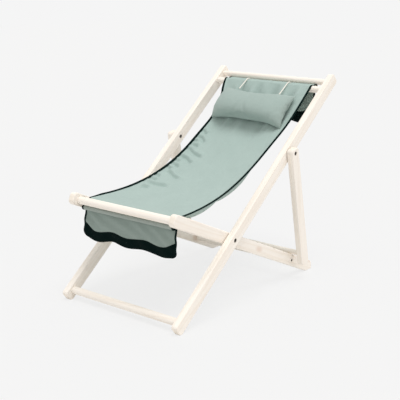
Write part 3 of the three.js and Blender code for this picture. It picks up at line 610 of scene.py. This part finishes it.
def edge_x(path, side):
    """How far the sling's edge lies from the middle: drawn in over the seat, on the right most of all near
    the head. The left edge lies further out at the front and further in below the pillow, and swings from
    one to the other and back to its place at the head in half waves of a cosine."""
    waist = SLING_WAIST * path.middling
    if side > 0:
        shift = np.cos(np.pi * ramp(path.way_up, 0.2, 0.7))
        shift += 0.5 - 0.5 * np.cos(np.pi * ramp(path.way_up, 0.72, 1.0))
        return sling_side + LEFT_EDGE_SHIFT * shift - waist
    late = np.exp(-(((path.share - HEAD_WAIST_SHARE) / HEAD_WAIST_SPREAD) ** 2))
    late *= np.where(path.share < 0, 0, ramp(path.share, 1, 1 - 1 / 14))
    return sling_side - waist - RIGHT_HEAD_WAIST * late - RIGHT_WAIST_MORE * path.middling


# Short creases run in from the sling's right edge, each from one place to another: the share of the way
# up the seat, and the share of the half width.
CREASE_SHARES = (
    ((0.705, -0.96), (0.688, -0.82)), ((0.665, -0.94), (0.640, -0.72)),
    ((0.638, -0.98), (0.626, -0.88)), ((0.610, -0.95), (0.600, -0.78)),
    ((0.575, -0.97), (0.538, -0.50)), ((0.520, -0.95), (0.492, -0.58)),
    ((0.486, -0.98), (0.474, -0.86)), ((0.462, -0.98), (0.438, -0.75)),
    ((0.425, -0.98), (0.412, -0.84)), ((0.398, -0.90), (0.358, -0.44)),
    ((0.352, -0.98), (0.335, -0.84)), ((0.312, -0.97), (0.304, -0.80)),
    ((0.275, -0.92), (0.280, -0.42)), ((0.228, -0.86), (0.235, -0.68)),
)
CREASE_DEPTH = 0.0072
CREASE_WIDTH = 0.0088
CREASE_START = 0.009


def creased(path, across):
    """Grooves with a low ridge on their upper side: -exp(-(d/w)^2) + 0.7 exp(-((d - 1.7w)/w)^2) at the
    distance d from each crease's line, which bends a little, fading at both its ends."""
    scale = np.array([seat_length, sling_side])
    place = np.stack(np.broadcast_arrays(path.share[:, None], across[None]), axis=2) * scale
    relief = np.zeros(place.shape[:2])
    for start, end in CREASE_SHARES:
        run = (np.array(end) - start) * scale
        from_start = place - np.array(start) * scale
        along = from_start @ run / (run @ run)
        upward = np.array([run[1], -run[0]]) / np.linalg.norm(run)
        bend = 0.25 * np.sin(2.2 * np.pi * along + 40 * start[0])
        off = from_start @ upward / CREASE_WIDTH + bend
        ends = np.exp(-((np.clip(np.abs(along - 0.5) - 0.35, 0, None) / 0.18) ** 2))
        relief += ends * (0.7 * np.exp(-((off - 1.7) ** 2)) - np.exp(-(off**2)))
    return CREASE_DEPTH * relief


EDGE_CURL = 0.006
EDGE_CURL_REACH = 0.010


def edge_curl(path, from_edge):
    """How far the sling's right edge curls up: EDGE_CURL * exp(-distance / EDGE_CURL_REACH) over the seat."""
    on = ramp(path.middling, 0, 0.2)[:, None]
    return EDGE_CURL * on * np.exp(-from_edge / EDGE_CURL_REACH)


HEAD_FOLD = 0.0056
HEAD_FOLD_SHARES = (0.72, 0.88)


def head_folds(share, u):
    """Loose folds from the upper dowel down past the pillow: two waves across the sling that lean opposite
    ways, full at the dowel and gone below the pillow."""
    rise = ramp(share, *HEAD_FOLD_SHARES)
    up = share - 0.9
    waves = np.cos(17 * u + 9 * up - 2.05) + 0.5 * np.cos(31 * u - 24 * up + 2.1)
    return HEAD_FOLD * rise * waves


SLING_BELLY = 0.014
EDGE_SLACK = 0.0035
EDGE_STIFF = 0.018
PUCKER = 0.0008
PUCKER_LENGTH = 0.0062
PUCKER_REACH = 0.016
DRAPE = 0.0016
DRAPE_LENGTH = 0.021
DRAPE_REACH = 0.045
UPPER_FOLD = 0.0022
LOWER_FOLD = 0.0016


def cloth_lift(path, across):
    """How far the cloth stands above its path, for across from -1 to 1: a belly between the edges, which
    sag a little too, two sets of waves along each edge that die out inwards, the creases, soft folds over
    the upper and the lower part of the seat, the loose folds at the head, and the curl of the right edge."""
    along = path.along[:, None]
    middling = path.middling[:, None]
    share = path.share[:, None]
    u = across[None]
    lift = -SLING_BELLY * middling * (1 - u**2) - EDGE_SLACK * np.abs(u) * middling
    from_edge = (1 - np.abs(u)) * sling_side
    on = ramp(middling, 0, 0.2)
    wobble = 1.1 * np.sin(along / 0.083) + 0.7 * np.sin(along / 0.031 + 2 * np.sign(u))
    free = 1 - np.exp(-((from_edge / EDGE_STIFF) ** 2))
    pucker = np.sin(along / PUCKER_LENGTH + wobble + 36 * from_edge)
    lift += PUCKER * on * free * pucker * np.exp(-from_edge / PUCKER_REACH)
    drape = np.sin(along / DRAPE_LENGTH + 0.8 * wobble + 2.5 * np.sign(u) + from_edge / 0.03)
    lift += DRAPE * on * free * drape * np.exp(-from_edge / DRAPE_REACH)
    lift += (1 - np.exp(-((from_edge / CREASE_START) ** 2))) * on * creased(path, across)
    lift += UPPER_FOLD * ramp(share, 0.45, 0.45 + 1 / 3) * on * np.cos(7.5 * u + 1.3) * (1 - u**4)
    lift += LOWER_FOLD * ramp(share, 0.3, 0.05) * on * np.cos(9.0 * u + 0.4) * (1 - u**4)
    lift += on * free * head_folds(share, u)
    lift += np.where(u < 0, edge_curl(path, from_edge), 0)
    return lift


def sling_sheet(name, path, across, lift):
    """The sheet over the path: a point stands across * half width from the middle and lift above the
    path. The UV map is the way across and along, in metres."""
    half = np.where(across[None] < 0, edge_x(path, -1)[:, None], edge_x(path, 1)[:, None])
    x = half * across[None]
    side = path.points[:, None] + lift[..., None] * path.up[:, None]
    points = np.concatenate([x[..., None], side], axis=2)
    uv = np.stack(np.broadcast_arrays(across[None] * sling_side, path.along[:, None]), axis=2)
    return grid_piece(name, points, uv)


def thicken(piece, thickness):
    """Gives a sheet its thickness, half to each side."""
    solid = piece.modifiers.new("thickness", "SOLIDIFY")
    solid.thickness = thickness
    solid.offset = 0
    solid.use_even_offset = True


path = SlingPath()
sling_canvas = canvas("sling_canvas", CANVAS_TONES, sleeve_end=path.sleeve_end)
across = np.linspace(-1, 1, 97)
sling_lift = cloth_lift(path, across)
sling = sling_sheet("canvas_sling", path, across, sling_lift)
thicken(sling, CLOTH)
sling.data.materials.append(sling_canvas)


# A dark cotton tape is folded over each edge of the sling from sleeve to sleeve and stitched through.
# It lies on both faces and ends round the rods.
BINDING_TONE = colour(9, 28, 26)
BINDING_WIDTH = 0.0088
BINDING_HALF = 0.0019
BINDING_PAST_EDGE = 0.0008
RIB_RELIEF = 0.0003


def dark_tape(name, tone=BINDING_TONE):
    """Dark woven cotton: fine ribs across the tape, a little paler where it is rubbed."""
    tree, shader, material = material_of(name, 0.95, 0.08)
    place = add_node(tree, "TexCoord").outputs["UV"]
    ribs = {"Scale": 260.0, "Distortion": 0.6}
    rib = add_node(tree, "TexWave", ribs, {"Vector": place}, bands_direction="Y")
    rubbed = noise(tree, place, 60.0, detail=4.0)
    pale = tuple(1.7 * c for c in tone[:3]) + (1,)
    mixed = blended(tree, graph(tree, "MULTIPLY", rubbed, rib.outputs[1]), tone, pale)
    tree.links.new(mixed, shader.inputs["Base Color"])
    bumped(tree, shader, rib.outputs[1], RIB_RELIEF, 0.5)
    return material


def tape_section(sides, fullness):
    """The tape's flat section from its fold inwards, as an oval of that many sides: it reaches
    BINDING_WIDTH * (cos - 1) / 2 in and BINDING_HALF * |sin|^fullness up and down, and lies a little past
    the cloth's edge. The third value is the way round it."""
    angle = np.linspace(0, 2 * np.pi, sides, endpoint=False)
    wide = (np.cos(angle) - 1) / 2 * BINDING_WIDTH + BINDING_PAST_EDGE
    high = np.sign(np.sin(angle)) * np.abs(np.sin(angle)) ** fullness * BINDING_HALF
    return wide, high, np.linspace(0, 2 * BINDING_WIDTH, sides + 1)


def binding(name, path, side, lift):
    """The tape's section carried along the sling's edge, on the cloth's lift and curl."""
    wide, high, round_way = tape_section(16, 0.6)
    x = side * (edge_x(path, side)[:, None] + wide[None])
    rise = lift[:, None] + high[None]
    if side < 0:
        rise += edge_curl(path, np.clip(-wide[None], 0, None)) - edge_curl(path, 0.0)
    side_view = path.points[:, None] + rise[..., None] * path.up[:, None]
    points = np.concatenate([x[..., None], side_view], axis=2)
    return tube_piece(name, points, round_way, path.along)


tape = dark_tape("dark_tape")
for name, side, column in (("left", 1, -1), ("right", -1, 0)):
    edge = binding(f"sling_binding_{name}", path, side, sling_lift[:, column])
    edge.data.materials.append(tape)
    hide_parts(f"sling_piping_{name}")
    bend_with_seat(edge)

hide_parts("sling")
bend_with_seat(sling)


# The sling is lined with a second layer of the same canvas, sewn in under the binding. It hangs a little
# slacker than the upper layer, so it shows below the edge over the seat.
LINING_THICK = 0.0009
LINING_GAP = 0.0018
LINING_WIDTH_SHARE = 0.99
LINING_DROP = 0.020
LOBE_SHARES = ((0.02, 0.24), (0.24, 0.52))
lining_start, lining_end = LOBE_SHARES[0][0], LOBE_SHARES[-1][1]


def lining_drop(share, u):
    """How far the lining hangs under the sling: sin(pi * way through a lobe)^0.6 for each lobe, on an even
    drop from its start to its end, both full almost to the edges."""
    lobes = sum(np.sin(np.pi * ramp(share, start, end)) ** 0.6 for start, end in LOBE_SHARES)
    through = ramp(share, lining_start, lining_start + 0.05) * ramp(share, lining_end, lining_end - 1 / 12)
    return LINING_DROP * (0.3 * through + 0.7 * lobes) * (1 - np.abs(u) ** 60)


lined = SlingPath()
kept = (lined.share > lining_start) & (lined.share < lining_end)
even = np.linspace(-1, 1, 61)
lining_across = np.sign(even) * (1 - (1 - np.abs(even)) ** 1.8)
full_lift = cloth_lift(lined, lining_across)
drop = lining_drop(lined.share[:, None], lining_across[None])
for field in ("points", "share", "up", "along", "way_up", "middling"):
    setattr(lined, field, getattr(lined, field)[kept])
lining_lift = full_lift[kept] - drop[kept] - LINING_GAP
lining = sling_sheet("sling_lining", lined, lining_across * LINING_WIDTH_SHARE, lining_lift)
thicken(lining, LINING_THICK)
lining.data.materials.append(sling_canvas)
bend_with_seat(lining)


# A valance hangs from the sleeve at each end: a strip of the same canvas, a deep dark band along its wavy
# hem, and dark tape down both sides. It is sewn to the sleeve and hangs free in soft folds.
# Painted shade: the strip's canvas is darker than the sling's, for the shadow under its sleeve and dowel.
VALANCE_SHADED_TONES = (colour(142, 156, 149), colour(125, 140, 133), colour(157, 170, 163))
BAND_TONE = colour(3, 18, 17)
VALANCE_THICK = 0.0012
BAND_THICK = 0.0026
BAND_ROUND = 0.0009
WAVE = 0.005
WAVE_COUNT = 3
CORNER_WIDE = 0.018
CORNER_TALL = 0.024
END_REACH = 0.055
BAND_LEFT_RISE = 0.017
BAND_RIGHT_RISE = 0.022
HEM_RIGHT_RISE = 0.006
CAD_END_RISE = 0.0137
CORNER_SWING = {"front": (0.022, 0.003), "back": (0.004, 0.030)}
LEFT_SIDE_OUT = {"front": 0.009, "back": -0.003}
SWING_REACH = 0.07
RIPPLE = 0.0035
BILLOW = 0.005
SLANT_FOLD = 0.0021
BAND_LAP = 0.004
TAPE_OVER_HEM = 0.002
strip_shares = (1 - np.cos(np.linspace(0, np.pi, 121))) / 2


def from_side(share):
    """How far a place on a strip is from the strip's nearer side."""
    return np.minimum(share, 1 - share) * 2 * sling_side


def across_strip(share, left_out):
    """How far to the left of the middle a place on a strip is, with its left side that much further out."""
    return (2 * share - 1) * (sling_side + np.where(share > 0.5, left_out, 0.0))


def hem_waves(share):
    """The height of the hem's waves, and how near a place is to either side, from 0 to 1."""
    return WAVE * (1 + np.cos(2 * np.pi * WAVE_COUNT * share)), ramp(from_side(share), END_REACH, 0)


def hem_rise(share):
    """How far the hem lies above its lowest line: the waves, the left one flatter and the right one higher
    towards their sides, and a quarter of an oval at each corner."""
    wave, near = hem_waves(share)
    turn = ramp(from_side(share), CORNER_WIDE, 0)
    ends = np.where(share > 0.5, -0.3 * wave * near, HEM_RIGHT_RISE * near**2)
    return wave + ends + CORNER_TALL * (1 - np.sqrt(1 - turn**2))


def band_rise(share):
    """How far the band's upper edge lies above its lowest line: the same waves, higher at both sides."""
    wave, near = hem_waves(share)
    return wave + np.where(share > 0.5, BAND_LEFT_RISE, BAND_RIGHT_RISE) * near**1.5


def sway(share, hang, swing):
    """How far a strip stands out of its plane: broad folds and much finer ones that grow towards the hem,
    a belly forward at half its height with slanting folds on it, and its two lower corners, which swing
    forward by the two distances given, less so further in."""
    fold = RIPPLE * hang * np.sin(2 * np.pi * (WAVE_COUNT + 1) * share + 0.6 * hang)
    fold += 0.12 * RIPPLE * hang * np.sin(2 * np.pi * 7.3 * share + 1.1)
    belly = np.sin(np.pi * hang)
    slant = np.sin(2 * np.pi * (4.6 * share - 2.3 * hang) + 1.4 * np.sin(2 * np.pi * 1.3 * share))
    fold -= belly * (BILLOW + SLANT_FOLD * slant)
    right = swing[0] * np.exp(-share * 2 * sling_side / SWING_REACH)
    left = swing[1] * np.exp(-(1 - share) * 2 * sling_side / SWING_REACH)
    return fold - hang**2 * (right + left)


class Hanging:
    """One valance's place: its plane, the heights of its top, its hem and its band's upper edge, how far
    its two lower corners swing forward and how much further out its left side hangs."""

    def __init__(self, place):
        low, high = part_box(place + "_valance")
        band_low, band_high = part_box(place + "_valance_band")
        self.y = (low.y + high.y) / 2
        self.top_line = high.z
        self.hem_line = band_low.z
        self.band_line = band_high.z - CAD_END_RISE
        self.swing = CORNER_SWING[place]
        self.left_out = LEFT_SIDE_OUT[place]

    def on_it(self, share, z):
        """The X and Y of a place on the strip, from its share across and its height."""
        hang = ramp(z, self.top_line, self.hem_line)
        x = across_strip(share, self.left_out) * np.ones_like(z)
        return x, self.y + sway(share, hang, self.swing)


def hanging_strip(name, valance, top, bottom, rows):
    """A strip between two heights, over strip_shares across it, whose columns lie closer near both sides."""
    z = top + (bottom - top) * np.linspace(0, 1, rows)[:, None]
    x, y = valance.on_it(strip_shares, z)
    return grid_piece(name, np.stack([x, y, z], axis=2), np.stack([x, valance.top_line - z], axis=2))


def side_tape(name, valance, side):
    """The tape down one side of a valance, its oval section carried along the strip's edge."""
    share = (side + 1) / 2
    z = np.linspace(valance.top_line, valance.hem_line + float(hem_rise(share)) + TAPE_OVER_HEM, 40)
    wide, high, round_way = tape_section(12, 1)
    x, y = valance.on_it(share, z)
    section = np.broadcast_arrays(x[:, None] + side * wide, y[:, None] + high, z[:, None])
    return tube_piece(name, np.stack(section, axis=2), round_way, valance.top_line - z)


# The valances' canvas carries painted shade: it is darker than the sling's canvas.
shaded_valance_canvas = canvas("shaded_valance_canvas", VALANCE_SHADED_TONES, wrinkle_strength=0.25)
band_cloth = dark_tape("band_cloth", BAND_TONE)
for place, body in (("front", "seat_frame"), ("back", "back_frame")):
    valance = Hanging(place)
    band_top = valance.band_line + band_rise(strip_shares)
    hem = valance.hem_line + hem_rise(strip_shares)
    strip = hanging_strip(f"{place}_valance_cloth", valance, valance.top_line, band_top - BAND_LAP, 22)
    thicken(strip, VALANCE_THICK)
    strip.data.materials.append(shaded_valance_canvas)
    band = hanging_strip(f"{place}_valance_trim", valance, band_top, hem, 14)
    thicken(band, BAND_THICK)
    edge_round = band.modifiers.new("rolled_edge", "BEVEL")
    edge_round.width = BAND_ROUND
    edge_round.segments = 2
    edge_round.limit_method = "ANGLE"
    band.data.materials.append(band_cloth)
    for name, side in (("left", 1), ("right", -1)):
        trim = side_tape(f"{place}_valance_tape_{name}", valance, side)
        trim.data.materials.append(tape)
        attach(trim, body)
    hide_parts(place + "_valance")
    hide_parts(place + "_valance_band")
    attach(strip, body)
    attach(band, body)


# The head pillow is a plain bag of the same canvas, filled with soft fibre and sewn along all four sides.
# Its cords hold it against the sling just under the upper dowel.
# Painted shade: the pillow's tones are darker than the sling's, though it is the same canvas.
PILLOW_SHADED_TONES = (colour(166, 183, 177), colour(147, 165, 159), colour(182, 197, 192))
PILLOW_TURN_DEG = 2.7
PILLOW_LENGTH = 0.340
PILLOW_HEIGHT = 0.168
PILLOW_CROWN = 0.046
PILLOW_UNDERSIDE = 0.022
PILLOW_SIDE_DRAW = 0.006
PILLOW_END_DRAW = 0.011
PILLOW_START_SHARE = 0.88
PILLOW_START_DRAW_SHARE = 0.1
PILLOW_SEWN_SHARES = (0.99, 0.985)
PILLOW_COLUMNS = 69
PILLOW_ROWS = 35
PILLOW_CAP = 0.012
STUFFING_STEPS = 20


def pillow_frame():
    """The pillow's middle, from its CAD box, and its three directions: along it, up it and out of it."""
    low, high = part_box("pillow")
    middle = (np.array(low) + np.array(high)) / 2
    on_seat = path.share > 0
    nearest = np.argmin(np.linalg.norm(path.points[on_seat] - middle[1:], axis=1))
    y, z = path.up[on_seat][nearest]
    out = np.array([0.0, y, z])
    turn = np.radians(-PILLOW_TURN_DEG)
    along = np.array([np.cos(turn), np.sin(turn) * z, -np.sin(turn) * y])
    return middle, np.stack([along, np.cross(out, along), out])


pillow_middle, pillow_axes = pillow_frame()


def pillow_shell(length, height, crown, under, drawn):
    """A closed bag: two sheets over the same rectangle, drawn in along its sides, that meet in its seams:
    z = crown * ((1 - |u|^3.5) (1 - v^2))^0.7 above, and the same downwards with the underside's depth."""
    u = np.linspace(-1, 1, PILLOW_COLUMNS)[None]
    v = np.linspace(-1, 1, PILLOW_ROWS)[:, None]
    swell = np.clip((1 - np.abs(u) ** 3.5) * (1 - v**2), 0, None) ** 0.7
    x = u * (length / 2 - PILLOW_SIDE_DRAW * drawn * (1 - v**2)) * np.ones_like(v)
    y = v * (height / 2 - PILLOW_END_DRAW * drawn * (1 - u**2)) * np.ones_like(u)
    top = np.stack([x, y, crown * swell], axis=2)
    bottom = np.stack([x, y, -under * swell], axis=2)
    return top, bottom


def pillow_mesh(name, length, height, crown, under, drawn):
    """The bag as one mesh: the upper sheet's points, then the lower sheet's without its rim, which it
    shares with the upper one."""
    top, bottom = pillow_shell(length, height, crown, under, drawn)
    rows, columns = top.shape[:2]
    upper = np.arange(rows * columns).reshape(rows, columns)
    lower = upper.copy()
    inner = (rows - 2) * (columns - 2)
    lower[1:-1, 1:-1] = rows * columns + np.arange(inner).reshape(rows - 2, columns - 2)
    points = np.concatenate([top.reshape(-1, 3), bottom[1:-1, 1:-1].reshape(-1, 3)])
    quads = [
        np.stack([index[:-1, :-1], index[:-1, 1:], index[1:, 1:], index[1:, :-1]], axis=2).reshape(-1, 4)
        for index in (upper, lower)
    ]
    faces = np.concatenate([quads[0], quads[1][:, ::-1]])
    mesh = bpy.data.meshes.new(name)
    mesh.from_pydata((pillow_middle + points @ pillow_axes).tolist(), [], faces.tolist())
    mesh.update()
    return in_scene(name, mesh)


def make_real(piece):
    """Applies a piece's modifiers to its mesh."""
    seen = piece.evaluated_get(bpy.context.evaluated_depsgraph_get())
    mesh = bpy.data.meshes.new_from_object(seen)
    piece.modifiers.clear()
    piece.data = mesh


def coordinates(mesh):
    """The places of a mesh's points, one row for each."""
    flat = np.empty(len(mesh.vertices) * 3, dtype=np.float32)
    mesh.vertices.foreach_get("co", flat)
    return flat.reshape(-1, 3).astype(float)


def put(piece, points):
    """Moves a piece's points to these places."""
    piece.data.vertices.foreach_set("co", points.astype(np.float32).ravel())
    piece.data.update()


def stuff(piece, cap):
    """Blows the bag up as cloth under pressure, and keeps each point within the cap of where it began."""
    before = coordinates(piece.data)
    cloth = piece.modifiers.new("stuffing", "CLOTH")
    cloth.settings.use_pressure = True
    cloth.settings.uniform_pressure_force = 4
    cloth.settings.effector_weights.gravity = 0
    cloth.settings.tension_stiffness = 12
    cloth.settings.compression_stiffness = 12
    cloth.settings.bending_stiffness = 0.6
    cloth.point_cache.frame_start = 1
    cloth.point_cache.frame_end = STUFFING_STEPS
    for step in range(1, STUFFING_STEPS + 1):
        scene.frame_set(step)
    make_real(piece)
    scene.frame_set(1)
    move = coordinates(piece.data) - before
    far = np.linalg.norm(move, axis=1)[:, None]
    put(piece, before + move * np.minimum(1, cap / np.maximum(far, 1e-9)))


shrink, drawn = ((PILLOW_START_SHARE, PILLOW_START_DRAW_SHARE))
sewn_length, sewn_height = np.array(PILLOW_SEWN_SHARES) * (PILLOW_LENGTH, PILLOW_HEIGHT)
depths = (PILLOW_CROWN * shrink, PILLOW_UNDERSIDE * shrink)
pillow = pillow_mesh("head_pillow", sewn_length, sewn_height, *depths, drawn)
stuff(pillow, PILLOW_CAP)
smooth = pillow.modifiers.new("smooth", "SUBSURF")
smooth.levels = 1
smooth.render_levels = 1
make_real(pillow)


# Each of the pillow's creases starts at a share of its half length, leans by a share of it on its way up,
# and has a half width that is a share of it too. The last number is its depth.
PILLOW_CREASES = ((-0.30, 0.22, 0.055, 0.0032), (0.18, -0.18, 0.05, 0.0030), (0.62, 0.25, 0.05, 0.0022))
PLEAT_RELIEF = 0.0014
PLEAT_FADE = 0.006
LONG_SEAM_PLEAT, LONG_SEAM_REACH = 0.0047, 0.014
SHORT_SEAM_PLEAT, SHORT_SEAM_REACH = 0.0052, 0.016
PILLOW_SINK = 0.016
PILLOW_TOP_DROP = 0.012
PILLOW_LOWER_UP = 0.009
PILLOW_LESS_TURN_DEG = 1.3
PILLOW_LEFT_REACH = 0.008
PILLOW_EDGE_SETTLE = 0.016


def crease_pillow(piece):
    """Pleats that run in from each seam and three shallow creases across the lower part, in the pillow's
    own directions: u along it and v up it, from -1 to 1. The filling has then sunk towards the lower seam,
    the upper seam hangs in the middle, the lower one is a little higher, the whole is turned back a little,
    the left end reaches further out, and the lower and the left edge settle onto the sling."""
    local = (coordinates(piece.data) - pillow_middle) @ pillow_axes.T
    u = local[:, 0] / (PILLOW_LENGTH / 2)
    v = local[:, 1] / (PILLOW_HEIGHT / 2)
    from_long = np.clip(1 - np.abs(v), 0, 1) * PILLOW_HEIGHT / 2
    from_short = np.clip(1 - np.abs(u), 0, 1) * PILLOW_LENGTH / 2
    side = np.sign(local[:, 2])
    uneven = 1.7 * np.sin(local[:, 0] / 0.023)
    pleat = np.sin(local[:, 0] / LONG_SEAM_PLEAT + uneven) * np.exp(-from_long / LONG_SEAM_REACH)
    pleat += 0.8 * np.sin(local[:, 1] / SHORT_SEAM_PLEAT + 1.3) * np.exp(-from_short / SHORT_SEAM_REACH)
    rise = PLEAT_RELIEF * pleat * ramp(np.minimum(from_long, from_short), 0, PLEAT_FADE)
    for place, lean, width, deep in PILLOW_CREASES:
        line = u - place - lean * (v + 1)
        rise -= deep * np.exp(-((line / width) ** 2)) * ramp(v, 0.3, -0.7) * ramp(v, -1, -0.8)
    local[:, 2] += side * rise
    lower, upper, left = ramp(v, 0, -1), ramp(v, 0, 1), ramp(u, 0, 1)
    local[:, 1] -= PILLOW_SINK * np.clip(local[:, 2] / PILLOW_CROWN, 0, 1.2) * np.clip(1 - v**4, 0, 1)
    local[:, 1] -= PILLOW_TOP_DROP * upper * (1 - 0.35 * u**2)
    local[:, 1] += PILLOW_LOWER_UP * lower + np.tan(np.radians(PILLOW_LESS_TURN_DEG)) * local[:, 0]
    local[:, 0] += PILLOW_LEFT_REACH * left**2
    local[:, 2] -= PILLOW_EDGE_SETTLE * (lower**3 + 0.7 * left**6)
    put(piece, pillow_middle + local @ pillow_axes)


crease_pillow(pillow)


def shaded_pillow_cloth():
    """A canvas like the sling's, a little darker as painted shade, its weave laid on by Object coordinates
    turned square to the pillow."""
    tree, shader, material = material_of("shaded_pillow_cloth", 0.92, 0.2)
    coords = add_node(tree, "TexCoord").outputs["Object"]
    tilt = np.arctan2(pillow_axes[1, 2], pillow_axes[1, 1])
    turned = add_node(tree, "Mapping", {"Rotation": (-tilt, 0, 0)}, {"Vector": coords}).outputs[0]
    weave, slub = threads(tree, turned)
    wrinkles = noise(tree, turned, 22.0, detail=4.0)
    lit = woven(tree, shader, weave, slub, PILLOW_SHADED_TONES, wrinkles, 0.4)
    tree.links.new(lit, shader.inputs["Base Color"])
    return material


pillow.data.materials.clear()
pillow.data.materials.append(shaded_pillow_cloth())
shade_smooth(pillow.data)
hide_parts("pillow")
bend_with_seat(pillow)
